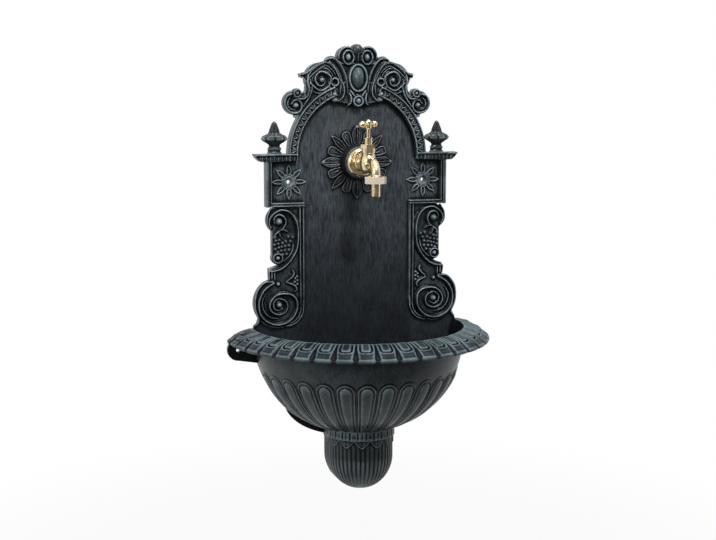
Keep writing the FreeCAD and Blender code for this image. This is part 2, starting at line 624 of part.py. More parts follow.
def basin():
    """Half-round basin with blocks on its rim, tongues on its bowl, wall ears and a back lobe."""
    body = basin_outside()
    skin = flute_skin()
    prisms = [flute(i) for i in range(FLUTES)]
    tongues = [skin.common(prism) for prism in prisms]
    ears = []
    web = [(150.0, -252.0), (EAR_X, EAR_Z + EAR_R), (EAR_X, EAR_Z - EAR_R), (150.0, -290.0)]
    for half in (disc(EAR_X, EAR_Z, EAR_R, 0, EAR_T), slab(web, 0, EAR_T)):
        ears += both_sides(half)
    lobe = oval(0, LOBE_Z, LOBE_R, LOBE_H, 0, EAR_T)
    body = body.multiFuse(tongues + ears + [lobe])
    body = body.cut(basin_inside())
    tools = [rim_slot(i) for i in range(RIM_BLOCKS)]
    tools += both_sides(disc(EAR_X, EAR_Z, EAR_HOLE_R, -1, EAR_T + 1))
    tools += foot_gap()
    tools.append(rod(WASTE_R + SLIP_GAP, V(0, WASTE_Y, BOWL_FOOT_Z - 1), Z_AXIS, FLOOR_T + 2))
    tools += [disc(x, BOLT_Z, BOLT_R + SLIP_GAP, 0, BACK_WALL + 1) for x in BOLT_XS]
    return body.cut(tools[0].multiFuse(tools[1:]))


def basin_fixings():
    """Countersunk bolts, sealing washers and dome nuts that hold the basin to the plate."""
    bolts, washers, nuts = [], [], []
    length = BACK_WALL + BOLT_WASHER_T + BOLT_NUT_H - 2.0
    for x in BOLT_XS:
        shank = disc(x, BOLT_Z, BOLT_R, 0.3, length)
        cone = head_cone(x, 0).cut(disc(x, BOLT_Z, BOLT_HEAD_R + 1, 0, 0.3))
        bolts.append(shank.fuse(cone))
        washers.append(ring_on_plate(x, BOLT_Z, BOLT_WASHER_R, BOLT_R + SLIP_GAP, BACK_WALL,
                                     BACK_WALL + BOLT_WASHER_T))
        back = BACK_WALL + BOLT_WASHER_T
        hexagon = hex_prism(BOLT_NUT_R, V(x, -back, BOLT_Z), V(0, -1, 0), BOLT_NUT_H - 2.5)
        cap = Part.makeSphere(4.8, V(x, -back - BOLT_NUT_H + 4.8, BOLT_Z))
        cap = cap.common(disc(x, BOLT_Z, 6, back + 1, back + BOLT_NUT_H + 1))
        nuts.append(hexagon.fuse(cap).cut(disc(x, BOLT_Z, BOLT_R, 0, length)))
    return {"basin_bolts": bolts, "basin_washers": washers, "basin_nuts": nuts}


def hex_prism(corner_r, start, direction, height):
    """Hexagonal prism by its corner radius."""
    side = direction.cross(V(0.3, 0.2, 1)) if abs(direction.z) < 0.9 else X_AXIS
    side.normalize()
    other = direction.cross(side)
    corners = []
    for i in range(7):
        angle = math.radians(60 * i)
        corners.append(start + side * (corner_r * math.cos(angle)) + other * (corner_r * math.sin(angle)))
    return Part.Face(Part.makePolygon(corners)).extrude(direction * height)


def pendant_form(radius, collar, top_z, bottom_z):
    """Outline of the pendant's right half: upright sides over a rounded end."""
    drop = PENDANT_SPRING_Z - bottom_z
    ellipse = [(math.cos(math.radians(a)), math.sin(math.radians(a))) for a in (0, 25, 50, 70, 90)]
    round_end = arcs_through([V(radius * c, 0, PENDANT_SPRING_Z - drop * s) for c, s in ellipse])
    sides = [(0, bottom_z), (0, top_z), (radius, top_z), (radius, PENDANT_SPRING_Z)]
    if collar:
        collar_z = top_z - COLLAR_H
        sides = [(0, bottom_z), (0, top_z), (collar, top_z), (collar, collar_z), (radius, collar_z - 3),
                 (radius, PENDANT_SPRING_Z)]
    return round_end + chain(sides)


def pendant():
    """Fluted hollow cover under the bowl, open to the wall, clamped by the waste's lock nut."""
    shell = half_round(pendant_form(PENDANT_R, COLLAR_R, BOWL_FOOT_Z, PENDANT_BOTTOM_Z), PENDANT_AXIS_Y, 0)
    room = half_round(pendant_form(PENDANT_R - PENDANT_WALL, 0, BOWL_FOOT_Z - PENDANT_WALL,
                               PENDANT_BOTTOM_Z + PENDANT_WALL), PENDANT_AXIS_Y, 1)
    hole_start = V(0, WASTE_Y, BOWL_FOOT_Z - PENDANT_WALL - 1)
    waste_hole = rod(WASTE_R + SLIP_GAP, hole_start, Z_AXIS, PENDANT_WALL + 2)
    lobe_gap = oval(0, LOBE_Z, LOBE_R + FACE_GAP, LOBE_H + FACE_GAP, -1, EAR_T + FACE_GAP)
    tools = [room, waste_hole, lobe_gap]
    for i in range(PENDANT_FLUTES):
        angle = math.radians(180.0 + (i + 0.5) * 180.0 / PENDANT_FLUTES)
        x = (PENDANT_R + 0.5) * math.cos(angle)
        y = PENDANT_AXIS_Y + (PENDANT_R + 0.5) * math.sin(angle)
        length = PENDANT_FLUTE_TOP_Z - PENDANT_FLUTE_Z
        tools.append(rod(PENDANT_FLUTE_R, V(x, y, PENDANT_FLUTE_Z), Z_AXIS, length))
    return shell.cut(tools[0].multiFuse(tools[1:]))


def waste():
    """Waste fitting in the basin's floor, its clamp and the bend to the wall."""
    floor_z = BOWL_FOOT_Z + FLOOR_T
    low_z = floor_z - WASTE_LENGTH
    centre = V(0, WASTE_Y, 0)

    def at(z):
        return centre + V(0, 0, z)

    body = rod(WASTE_FLANGE_R, at(floor_z), Z_AXIS, WASTE_FLANGE_T)
    body = body.fuse(rod(WASTE_R, at(low_z), Z_AXIS, WASTE_LENGTH + 1))
    body = body.cut(rod(WASTE_BORE_R, at(low_z - 1), Z_AXIS, WASTE_LENGTH + 5))
    bar = box(-WASTE_BORE_R - 1, WASTE_BORE_R + 1, WASTE_Y - 3, WASTE_Y + 3, floor_z - 8, floor_z - 2)
    hub = rod(5.0, at(floor_z - 8), Z_AXIS, 6)
    body = union([body, bar, hub]).cut(rod(GRATE_SCREW_R, at(floor_z - 9), Z_AXIS, 9))
    grate_z = floor_z + WASTE_FLANGE_T
    grate = rod(WASTE_FLANGE_R - 2, at(grate_z), Z_AXIS, GRATE_T)
    slots = [rod(GRATE_SCREW_R + SLIP_GAP, at(grate_z - 1), Z_AXIS, GRATE_T + 2)]
    for i in range(GRATE_SLOTS):
        slot = box(6.0, WASTE_BORE_R, WASTE_Y - 1.2, WASTE_Y + 1.2, grate_z - 1, grate_z + GRATE_T + 1)
        slot.rotate(centre, Z_AXIS, i * 360 / GRATE_SLOTS)
        slots.append(slot)
    grate = grate.cut(slots[0].multiFuse(slots[1:]))
    screw_z = floor_z - 7
    screw = rod(GRATE_SCREW_R, at(screw_z), Z_AXIS, grate_z + GRATE_T - screw_z)
    screw = screw.fuse(rod(4.5, at(grate_z + GRATE_T), Z_AXIS, 2.0))
    seal_z = BOWL_FOOT_Z - PENDANT_WALL
    seal = ring(LOCK_NUT_R - 1.5, WASTE_R + SLIP_GAP, at(seal_z), V(0, 0, -1), SEAL_T)
    nut = hex_prism(LOCK_NUT_R, at(seal_z - SEAL_T), V(0, 0, -1), LOCK_NUT_T)
    nut = nut.cut(rod(WASTE_R, at(seal_z - SEAL_T + 1), V(0, 0, -1), LOCK_NUT_T + 2))
    top_z = low_z + ELBOW_OVERLAP
    turn_z = low_z - 4.0
    elbow = elbow_pipe(ELBOW_R, top_z - 4.0, turn_z, SHANK_END_Y - 0.4)
    bore = elbow_pipe(WASTE_BORE_R + 1.0, low_z, turn_z, 1.0)
    socket = rod(WASTE_R + SLIP_GAP, at(low_z - 0.3), Z_AXIS, ELBOW_OVERLAP + 2)
    elbow = elbow.cut(bore).cut(socket)
    slip_seal = ring(ELBOW_R, WASTE_R + SLIP_GAP, at(top_z - 4.0), Z_AXIS, 4.0)
    slip_nut = hex_prism(SLIP_NUT_R, at(top_z - SLIP_NUT_H + 2.0), Z_AXIS, SLIP_NUT_H)
    slip_nut = slip_nut.cut(rod(ELBOW_R + SLIP_GAP, at(top_z - SLIP_NUT_H), Z_AXIS, SLIP_NUT_H))
    slip_nut = slip_nut.cut(rod(WASTE_R + SLIP_GAP, at(top_z - 1), Z_AXIS, SLIP_NUT_H))
    return {"waste_body": body, "waste_grate": grate, "grate_screw": screw, "waste_seal": seal,
            "waste_lock_nut": nut, "waste_elbow": elbow, "slip_seal": slip_seal, "slip_nut": slip_nut}


def bent_rod(radius, start, turn, centre, end, angle):
    """Rod from start to turn, round a quarter bend in the YZ plane about a centre, and on to the end."""
    face = Part.Face(Part.Wire(Part.makeCircle(radius, turn, turn - start)))
    bend = face.revolve(centre, X_AXIS, angle)
    after = centre + (turn - start).normalize() * (turn - centre).Length
    first = rod(radius, start, turn - start, (turn - start).Length)
    return union([first, bend, rod(radius, after, end - after, (end - after).Length)])


def elbow_pipe(radius, top_z, turn_z, end_y):
    """Rod that comes down the waste's axis, turns towards the wall and ends at a plane."""
    r = ELBOW_TURN_R
    centre = V(0, WASTE_Y + r, turn_z)
    return bent_rod(radius, V(0, WASTE_Y, top_z), V(0, WASTE_Y, turn_z), centre, V(0, end_y, turn_z - r), 90)


def tap_rosette():
    """Leaf rosette with a hollow domed hub that carries the tap's flange."""
    start, hub_r, wall = FIELD_T, ROSETTE_HUB_R, ROSETTE_WALL
    seat_r, seat = FLANGE_R + 1.5, ROSETTE_FRONT
    hub = turned([(hub_r, start), (hub_r, start + 8), ((hub_r - 0.8, start + 17), (seat_r, seat)), (0, seat),
                  (0, start)])
    inner_r, inner_top = hub_r - wall, seat - wall
    room = turned([(inner_r, start - 1), (inner_r, start + 8), (inner_r - 2, start + 16), (12.0, inner_top),
                   (0, inner_top), (0, start - 1)])
    leaf_r = ROSETTE_R + 1
    envelope = turned([(0, start), (leaf_r, start), (leaf_r, start + 5.0), ((45.0, start + 9.0),
                       (hub_r - 2, start + 10.0)), (0, start + 10.0)])
    petals = [rosette_petal(i) for i in range(ROSETTE_PETALS)]
    leaves = petals[0].multiFuse(petals[1:]).common(envelope)
    base = ring_on_plate(0, TAP_Z, hub_r + 8, hub_r - 2, start, start + 3.5)
    rosette = union([hub, base, leaves])
    return rosette.cut(room).cut(disc(0, TAP_Z, SHANK_R + SLIP_GAP, 0, ROSETTE_FRONT + 1))


def rosette_petal(index):
    """One petal: every fourth is a broad leaf, the rest are narrower and shorter."""
    start = ROSETTE_HUB_R - 2.0
    if index % 4 == 0:
        reach, half, neck = ROSETTE_R, BROAD_LEAF_W / 2, 0.55
        side = [(start + 9, half), (reach - 8, half), (reach, 0.0)]
    else:
        reach, half, neck = ROSETTE_R - (6.0 if index % 2 else 9.0), NARROW_LEAF_W / 2, 0.6
        side = [(reach - 3, half), (reach, half * 0.6)]
    right = [(start, half * neck)] + side
    left = [(u, -v) for u, v in reversed(right) if v > 0]
    turn = math.radians(index * 360 / ROSETTE_PETALS)
    c, s = math.cos(turn), math.sin(turn)
    placed = [(u * c - v * s, TAP_Z + u * s + v * c) for u, v in right + left]
    return slab(placed, FIELD_T, FIELD_T + 12)


def outline_face(profile, place):
    """Face inside a profile; an item of two points is an arc through the first point to the second.

    The function `place` turns each point of the profile into a place in space.
    """
    edges = []
    last = profile[0]
    for item in profile[1:] + profile[:1]:
        if isinstance(item[0], tuple):
            middle, end = item
            edges.append(Part.Arc(place(last), place(middle), place(end)).toShape())
        else:
            end = item
            edges.append(Part.makeLine(place(last), place(end)))
        last = end
    return Part.Face(Part.Wire(edges))


def turned(profile):
    """Body turned about the tap's inlet axis from a profile of (radius, distance out of the wall)."""
    face = outline_face(profile, lambda point: V(point[0], -point[1], TAP_Z))
    return face.revolve(V(0, 0, TAP_Z), Y_AXIS, 360)


def upright(profile, y=SPINDLE_Y):
    """Body turned about an upright axis from a profile of (radius, height)."""
    face = outline_face(profile, lambda point: V(point[0], y, point[1]))
    return face.revolve(V(0, y, 0), Z_AXIS, 360)


def spout_pipe(radius, start_y, end_z):
    """Rod along the spout: level out of the chamber, then a quarter turn down to the nozzle."""
    r, z = SPOUT_TURN_R, TAP_Z + SPOUT_RISE
    centre = V(0, NOZZLE_Y + r, z - r)
    return bent_rod(radius, V(0, start_y, z), V(0, NOZZLE_Y + r, z), centre, V(0, NOZZLE_Y, end_z), 90)


def tap_body():
    """Tap body: shank, barrel, valve chamber, spout and nozzle, with its waterways."""
    flange_front = ROSETTE_FRONT + FLANGE_T
    shoulder, neck_y = flange_front + 7, -SPINDLE_Y - 8
    barrel = turned([(0, -SHANK_END_Y), (SHANK_R, -SHANK_END_Y), (SHANK_R, flange_front),
                     (14.0, flange_front), ((14.3, flange_front + 3.5), (BARREL_R, shoulder)),
                     (BARREL_R - 0.5, neck_y), (11.0, -SPINDLE_Y), (0, -SPINDLE_Y)])
    collar_r = CHAMBER_R - 1
    chamber = upright([(0, 15.0), (7.0, 15.5), ((12.0, 22.0), (13.4, 31.0)),
                       ((12.7, 37.5), (collar_r, 43.0)), (collar_r, 46.0), (CHAMBER_R, 47.0),
                       (CHAMBER_R, CHAMBER_TOP_Z), (0, CHAMBER_TOP_Z)])
    spout = spout_pipe(SPOUT_R, SPINDLE_Y, NOZZLE_TOP_Z - 1)
    nozzle_in, rim_z = NOZZLE_R - 3, NOZZLE_TOP_Z - 1.6
    nozzle = upright([(0, NOZZLE_TOP_Z + 1), (SPOUT_R + 0.8, NOZZLE_TOP_Z + 1),
                      (nozzle_in, NOZZLE_TOP_Z - 0.6),
                      (NOZZLE_R, rim_z), (NOZZLE_R, NOZZLE_END_Z), (0, NOZZLE_END_Z)], NOZZLE_Y)
    solid = union([barrel, chamber, spout, nozzle])
    inlet = rod(SHANK_BORE_R, V(0, 1, TAP_Z), V(0, -1, 0), 1 - SPINDLE_Y - 16)
    riser = rod(SEAT_R, V(0, SPINDLE_Y, TAP_Z - 8), Z_AXIS, SEAT_Z - TAP_Z + 9)
    link = rod(SEAT_R, V(0, SPINDLE_Y + 16, TAP_Z - 3), V(0, -1, 0), 16)
    room = rod(CHAMBER_BORE_R, V(0, SPINDLE_Y, SEAT_Z), Z_AXIS, CHAMBER_TOP_Z - SEAT_Z + 1)
    outlet = spout_pipe(SPOUT_BORE_R, SPINDLE_Y - SEAT_R - 2.5, NOZZLE_END_Z - 1)
    return solid.cut(inlet.multiFuse([riser, link, room, outlet]))


def tap_clamp():
    """Flange in front of the rosette, and the washer and nut that clamp the tap from behind."""
    bore, front = SHANK_R + SLIP_GAP, ROSETTE_FRONT + FLANGE_T
    flange = turned([(bore, ROSETTE_FRONT), (FLANGE_R, ROSETTE_FRONT), (FLANGE_R, ROSETTE_FRONT + 1.5),
                     ((FLANGE_R - 2.5, ROSETTE_FRONT + 5.2), (FLANGE_R - 8, front)), (bore, front)])
    nut_face = BACK_NUT_RECESS - BACK_WASHER_T
    washer = ring_on_plate(0, TAP_Z, BACK_NUT_R - 0.5, bore, nut_face, BACK_NUT_RECESS)
    nut = hex_prism(BACK_NUT_R, V(0, BACK_NUT_T - nut_face, TAP_Z), V(0, -1, 0), BACK_NUT_T)
    nut = nut.cut(disc(0, TAP_Z, SHANK_R + THREAD_GAP, -1, nut_face + 1))
    return {"tap_flange": flange, "tap_back_washer": washer, "tap_back_nut": nut}


def top_works():
    """Bonnet, gland and packing over the valve chamber."""
    plug_r, stem_r = CHAMBER_BORE_R - THREAD_GAP, SPINDLE_R + FACE_GAP
    hexagon = hex_prism(BONNET_AF / math.sqrt(3), V(0, SPINDLE_Y, CHAMBER_TOP_Z), Z_AXIS,
                        BONNET_TOP_Z - CHAMBER_TOP_Z)
    core = upright([(0, BONNET_PLUG_Z), (plug_r, BONNET_PLUG_Z), (plug_r, CHAMBER_TOP_Z),
                    (NECK_R, CHAMBER_TOP_Z), (NECK_R, NECK_TOP_Z), (0, NECK_TOP_Z)])
    screw_r = SCREW_R + RUNNING_GAP
    bore = upright([(0, BONNET_PLUG_Z - 1), (screw_r, BONNET_PLUG_Z - 1), (screw_r, SCREW_BORE_TOP_Z),
                    (stem_r, SCREW_BORE_TOP_Z), (stem_r, NECK_TOP_Z + 1), (0, NECK_TOP_Z + 1)])
    packing_top = NECK_TOP_Z + PACKING_H
    neck_bore = NECK_R + THREAD_GAP
    gland = upright([(neck_bore, BONNET_TOP_Z), (GLAND_R, BONNET_TOP_Z), (GLAND_R, GLAND_TOP_Z - 1.6),
                     (GLAND_LIP_R, GLAND_TOP_Z - 1.3), (GLAND_LIP_R, GLAND_TOP_Z), (stem_r, GLAND_TOP_Z),
                     (stem_r, packing_top), (neck_bore, packing_top)])
    packing = upright([(SPINDLE_R + RUNNING_GAP, NECK_TOP_Z), (NECK_R, NECK_TOP_Z), (NECK_R, packing_top),
                       (SPINDLE_R + RUNNING_GAP, packing_top)])
    return {"tap_bonnet": union([hexagon, core]).cut(bore), "gland_nut": gland, "gland_packing": packing}


def valve():
    """Washer on the seat, jumper above it, and the screwed spindle that presses both down."""
    washer_z = SEAT_Z + SEAT_GAP
    jumper_z = washer_z + VALVE_WASHER_T
    washer_r = JUMPER_R - 0.4
    washer = upright([(0, washer_z), (washer_r, washer_z), (washer_r, jumper_z), (0, jumper_z)])
    disc_top = jumper_z + JUMPER_T
    jumper = upright([(0, jumper_z), (JUMPER_R, jumper_z), (JUMPER_R, disc_top), (JUMPER_PIN_R, disc_top),
                      (JUMPER_PIN_R, JUMPER_PIN_TOP_Z), (0, JUMPER_PIN_TOP_Z)])
    half = SQUARE / 2
    square = box(-half, half, SPINDLE_Y - half, SPINDLE_Y + half, HANDLE_HUB_Z0 - 1, HANDLE_HUB_Z1)
    stem = upright([(0, SCREW_Z0), (SCREW_R, SCREW_Z0), (SCREW_R, SCREW_Z1), (SPINDLE_R, SCREW_Z1 + 1),
                    (SPINDLE_R, HANDLE_HUB_Z0), (0, HANDLE_HUB_Z0)])
    pin_hole = rod(JUMPER_PIN_R + RUNNING_GAP, V(0, SPINDLE_Y, SCREW_Z0 - 1), Z_AXIS,
                   JUMPER_PIN_TOP_Z - SCREW_Z0 + 1.4)
    return {"valve_washer": washer, "jumper_valve": jumper, "spindle": stem.fuse(square).cut(pin_hole)}


def handle():
    """Crossbar handle with a knob at each end, and the dome nut that holds it on the square."""
    z0, z1, r = HANDLE_HUB_Z0, HANDLE_HUB_Z1, HANDLE_HUB_R
    hub = upright([(0, z0), (r - 1, z0), ((r - 0.3, z0 + 0.7), (r, z0 + 2)), (r, z1 - 2),
                   ((r - 0.3, z1 - 0.7), (r - 1, z1)), (0, z1)])
    centre = V(0, SPINDLE_Y, HANDLE_Z)
    direction = V(math.cos(math.radians(HANDLE_ANGLE)), math.sin(math.radians(HANDLE_ANGLE)), 0)
    bar = rod(HANDLE_BAR_R, centre - direction * HANDLE_HALF, direction, 2 * HANDLE_HALF)
    knobs = [Part.makeSphere(HANDLE_KNOB_R, centre + direction * (side * HANDLE_HALF)) for side in (-1, 1)]
    slot = SQUARE / 2 + 0.02
    hole = box(-slot, slot, SPINDLE_Y - slot, SPINDLE_Y + slot, HANDLE_HUB_Z0 - 1, HANDLE_HUB_Z1 + 1)
    dome_r = (CAP_NUT_R ** 2 + CAP_NUT_H ** 2) / (2 * CAP_NUT_H)
    cap = Part.makeSphere(dome_r, V(0, SPINDLE_Y, z1 + CAP_NUT_H - dome_r))
    cap = cap.common(rod(dome_r, V(0, SPINDLE_Y, z1), Z_AXIS, dome_r))
    return {"handle_bar": union([hub, bar] + knobs).cut(hole), "handle_cap_nut": cap}


def outlet_parts():
    """Union nut, hose tail and the washer between tail and nozzle."""
    lip_z = UNION_END_Z + UNION_LIP
    flange_z = lip_z + TAIL_FLANGE_T
    nut = hex_prism(UNION_AC / 2, V(0, NOZZLE_Y, UNION_END_Z), Z_AXIS, UNION_TOP_Z - UNION_END_Z)
    nut = nut.cut(rod(NOZZLE_R, V(0, NOZZLE_Y, lip_z), Z_AXIS, UNION_TOP_Z))
    nut = nut.cut(rod(TAIL_R + SLIP_GAP, V(0, NOZZLE_Y, UNION_END_Z - 1), Z_AXIS, UNION_LIP + 2))
    washer = ring(TAIL_FLANGE_R, TAIL_R - 1, V(0, NOZZLE_Y, flange_z), Z_AXIS, NOZZLE_END_Z - flange_z)
    tail = upright([(TAIL_BORE_R, TAIL_END_Z), (TAIL_R - 0.6, TAIL_END_Z), (TAIL_R, TAIL_END_Z + 0.8),
                    (TAIL_R, UNION_END_Z - 0.6), (TAIL_NECK_R, UNION_END_Z - 0.1), (TAIL_NECK_R, lip_z),
                    (TAIL_FLANGE_R, lip_z), (TAIL_FLANGE_R, flange_z), (TAIL_BORE_R, flange_z)], NOZZLE_Y)
    return {"union_nut": nut, "hose_washer": washer, "hose_tail": tail}


def main():
    """Build every node and write its file."""
    nodes = {"back_plate": back_plate(), "basin": basin(), "pendant": pendant()}
    nodes.update({"tap_rosette": tap_rosette(), "tap_body": tap_body()})
    nodes.update(basin_fixings())
    nodes.update(waste())
    nodes.update(tap_clamp())
    nodes.update(top_works())
    nodes.update(valve())
    nodes.update(handle())
    nodes.update(outlet_parts())
    os.makedirs("parts", exist_ok=True)
    for name, shape in nodes.items():
        if isinstance(shape, list):
            shape = Part.makeCompound(shape)
        shape.exportStep(f"parts/{name}.step")
        print(f"{name}: {len(shape.Solids)} solid, {shape.Volume / 1000:.1f} cm3, valid {shape.isValid()}")


main()
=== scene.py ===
"""Looks of a cast wall fountain: patinated ironwork round a polished brass tap.

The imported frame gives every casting, pipe and fixing its place and size. What a pattern maker would carve
is modelled here: scrolls, leaves, stars, grapes, gadroons and flutes. Lengths are millimetres in the wall's
frame while a piece is carved, with `out` as the distance in front of the wall, and metres once it is placed.
"""

import logging
import math
from collections.abc import Callable, Iterable, Sequence
from dataclasses import dataclass, field
from enum import Enum
from typing import ClassVar

import bmesh
import bpy
import numpy as np
from mathutils import Matrix, Vector


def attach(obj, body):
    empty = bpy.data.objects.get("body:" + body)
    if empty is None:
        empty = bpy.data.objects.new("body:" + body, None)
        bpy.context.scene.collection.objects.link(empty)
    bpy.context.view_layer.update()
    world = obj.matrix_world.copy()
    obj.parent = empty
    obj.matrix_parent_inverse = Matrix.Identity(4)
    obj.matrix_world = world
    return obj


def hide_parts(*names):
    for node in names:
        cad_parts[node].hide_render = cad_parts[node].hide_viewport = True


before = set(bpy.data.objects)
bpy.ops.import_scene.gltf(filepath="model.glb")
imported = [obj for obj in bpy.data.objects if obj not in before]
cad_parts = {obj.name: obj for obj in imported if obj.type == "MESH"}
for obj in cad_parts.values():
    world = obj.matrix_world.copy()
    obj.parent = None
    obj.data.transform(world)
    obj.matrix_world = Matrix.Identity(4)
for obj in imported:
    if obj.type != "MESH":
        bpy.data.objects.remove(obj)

Point = tuple[float, float]
Disc = tuple[float, float, float]
Colour = tuple[float, float, float]
Geometry = bmesh.types.BMesh

LOG = logging.getLogger("fountain")
MM = 0.001
FIELD_OUT = 7.95        # face of the plain field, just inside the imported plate's own face
ROOT_OUT = 5.5          # level in the plate at which carved pieces are cut off
BURIED_OUT = 4.5        # level behind that cut, from which carved grounds rise

# Rise over its surroundings, in millimetres, at which a mark starts and is full, and the mark's share.
FINE_PROUD, BROAD_PROUD = (0.02, 0.3, 0.6), (0.0, 1.6, 0.45)
FINE_SUNK, BROAD_SUNK = (0.0, 0.22, 0.8), (0.0, 1.2, 0.6)


def clamp(value: float, low: float = 0.0, high: float = 1.0) -> float:
    """Value held between two limits."""
    return min(max(value, low), high)


def ease(value: float) -> float:
    """Smooth step from 0 to 1."""
    value = clamp(value)
    return value * value * (3.0 - 2.0 * value)


def hump(value: float) -> float:
    """Bell that is 1 at 0 and nearly 0 beyond 2."""
    return math.exp(-value * value)


def polar(centre: Point, radius: float, turn: float) -> Point:
    """Point at a radius and a turn in degrees, 0 to the right and 90 up."""
    angle = math.radians(turn)
    return centre[0] + radius * math.cos(angle), centre[1] + radius * math.sin(angle)


def arc(centre: Point, radius: float, start: float, stop: float, count: int) -> list[Point]:
    """Points of a round arc.

    Args:
        centre: Middle of the arc.
        radius: Its radius.
        start: First angle in degrees, 0 to the right and 90 up.
        stop: Last angle in degrees.
        count: Number of points.

    Returns:
        The points from start to stop.
    """
    return [polar(centre, radius, start + (stop - start) * i / (count - 1)) for i in range(count)]


def arc_through(a: Point, b: Point, c: Point, count: int) -> list[Point]:
    """Points of the round arc from a to c that passes through b.

    Args:
        a: First point.
        b: A point between.
        c: Last point.
        count: Number of points.

    Returns:
        The points, both ends included.
    """
    d = 2 * (a[0] * (b[1] - c[1]) + b[0] * (c[1] - a[1]) + c[0] * (a[1] - b[1]))
    sa, sb, sc = (p[0] ** 2 + p[1] ** 2 for p in (a, b, c))
    centre = ((sa * (b[1] - c[1]) + sb * (c[1] - a[1]) + sc * (a[1] - b[1])) / d,
              (sa * (c[0] - b[0]) + sb * (a[0] - c[0]) + sc * (b[0] - a[0])) / d)
    start, stop = (math.degrees(math.atan2(p[1] - centre[1], p[0] - centre[0])) for p in (a, c))
    if abs(stop - start) > 180:
        stop += 360 if stop < start else -360
    return arc(centre, math.dist(a, centre), start, stop, count)


def flowing(points: Sequence[Point], step: float) -> list[Vector]:
    """Smooth curve through given points.

    Args:
        points: Points that the curve passes through.
        step: Spacing of the points that come back.

    Returns:
        Points along the curve.
    """
    knots = [Vector(p) for p in points]
    knots = [2 * knots[0] - knots[1]] + knots + [2 * knots[-1] - knots[-2]]
    curve = []
    for a, b, c, d in zip(knots, knots[1:], knots[2:], knots[3:]):
        count = max(1, round((c - b).length / step))
        for i in range(count):
            t = i / count
            curve.append(0.5 * (2 * b + (c - a) * t + (2 * a - 5 * b + 4 * c - d) * t ** 2
                                + (3 * b - a - 3 * c + d) * t ** 3))
    return curve + [knots[-2]]


class Section(Enum):
    """Cross-section of a carved stroke: the right half of its outline, from flank to middle."""

    ROUND = ((1.0, 0.0), (0.92, 0.38), (0.71, 0.71), (0.38, 0.92), (0.0, 1.0))
    KEEL = ((1.0, 0.0), (0.88, 0.3), (0.5, 0.46), (0.2, 0.72), (0.0, 1.0))
    CHANNEL = ((1.0, 0.0), (0.97, 0.7), (0.8, 1.0), (0.58, 0.76), (0.3, 0.44), (0.0, 0.34))
    FLAT = ((1.0, 0.0), (0.96, 0.75), (0.8, 1.0), (0.0, 1.0))

    def outline(self) -> list[Point]:
        """Whole closed outline, with a root that sinks into the ground."""
        right, root = list(self.value), [(-1.0, -0.3), (1.0, -0.3)]
        return right + [(-across, out) for across, out in reversed(right[:-1])] + root


@dataclass(frozen=True)
class Stroke:
    """One carved stroke over the ground.

    Attributes:
        path: Points (x, z) that its middle line passes through.
        width: Width where it is fullest.
        height: Height over the ground where it is fullest.
        section: Its cross-section.
        start: Share of the size that is left at its start.
        end: Share of the size that is left at its end.
        fullest: Where it is fullest, as a share of its length.
    """

    path: Sequence[Point]
    width: float
    height: float
    section: Section = Section.ROUND
    start: float = 0.4
    end: float = 0.4
    fullest: float = 0.5
    swell: ClassVar[float] = 0.8            # power of the swelling along the length
    rise_swell: ClassVar[float] = 0.7       # power that keeps the height fuller than the width
    least: ClassVar[float] = 0.2            # least half width and height
    least_step: ClassVar[float] = 1.1       # least spacing of the sections
    step_share: ClassVar[float] = 0.3       # their spacing as a share of the width

    def share(self, t: float) -> float:
        """Share of the full size at one place.

        Args:
            t: The place as a share of the length.

        Returns:
            The size there over the size where the stroke is fullest.
        """
        if t < self.fullest:
            return self.start + (1 - self.start) * math.sin(math.pi / 2 * t / self.fullest) ** self.swell
        rest = (1 - t) / max(1 - self.fullest, 1e-6)
        return self.end + (1 - self.end) * math.sin(math.pi / 2 * rest) ** self.swell

    def frames(self, ground: float) -> list[Matrix]:
        """Frames that carry the section along the path.

        Args:
            ground: Level that the stroke stands on.

        Returns:
            One frame for each step.
        """
        points = flowing(self.path, max(self.least_step, self.width * self.step_share))
        last = len(points) - 1
        frames = []
        for i, point in enumerate(points):
            along = (points[min(i + 1, last)] - points[max(i - 1, 0)]).normalized()
            share = self.share(i / last)
            half = max(self.width / 2 * share, self.least)
            rise = max(self.height * share ** self.rise_swell, self.least)
            frames.append(Matrix(((-along.y * half, 0, along.x, point.x), (0, -rise, 0, -ground),
                                  (along.x * half, 0, along.y, point.y), (0, 0, 0, 1))))
        return frames


@dataclass(frozen=True)
class Bead:
    """Rounded bead, pearl or grape.

    Attributes:
        x: Place across the wall.
        z: Height.
        radius: Radius across.
        height: Height over the ground, the radius unless given.
        tall: Its height along z over its width.
    """

    x: float
    z: float
    radius: float
    height: float = 0.0
    tall: float = 1.0


def ring(x: float, z: float, radius: float, width: float, height: float, tall: float = 1.0) -> Stroke:
    """Closed round or oval stroke."""
    path = [(x + (px - x), z + (pz - z) * tall) for px, pz in arc((x, z), radius, 0, 360, 25)]
    return Stroke(path, width, height, start=1.0, end=1.0)


def whorl(x: float, z: float, radii: Sequence[float], start: float, step: float) -> list[Point]:
    """Points of a scroll whose radius is given for each step of its turn."""
    return [polar((x, z), radius, start + step * i) for i, radius in enumerate(radii)]


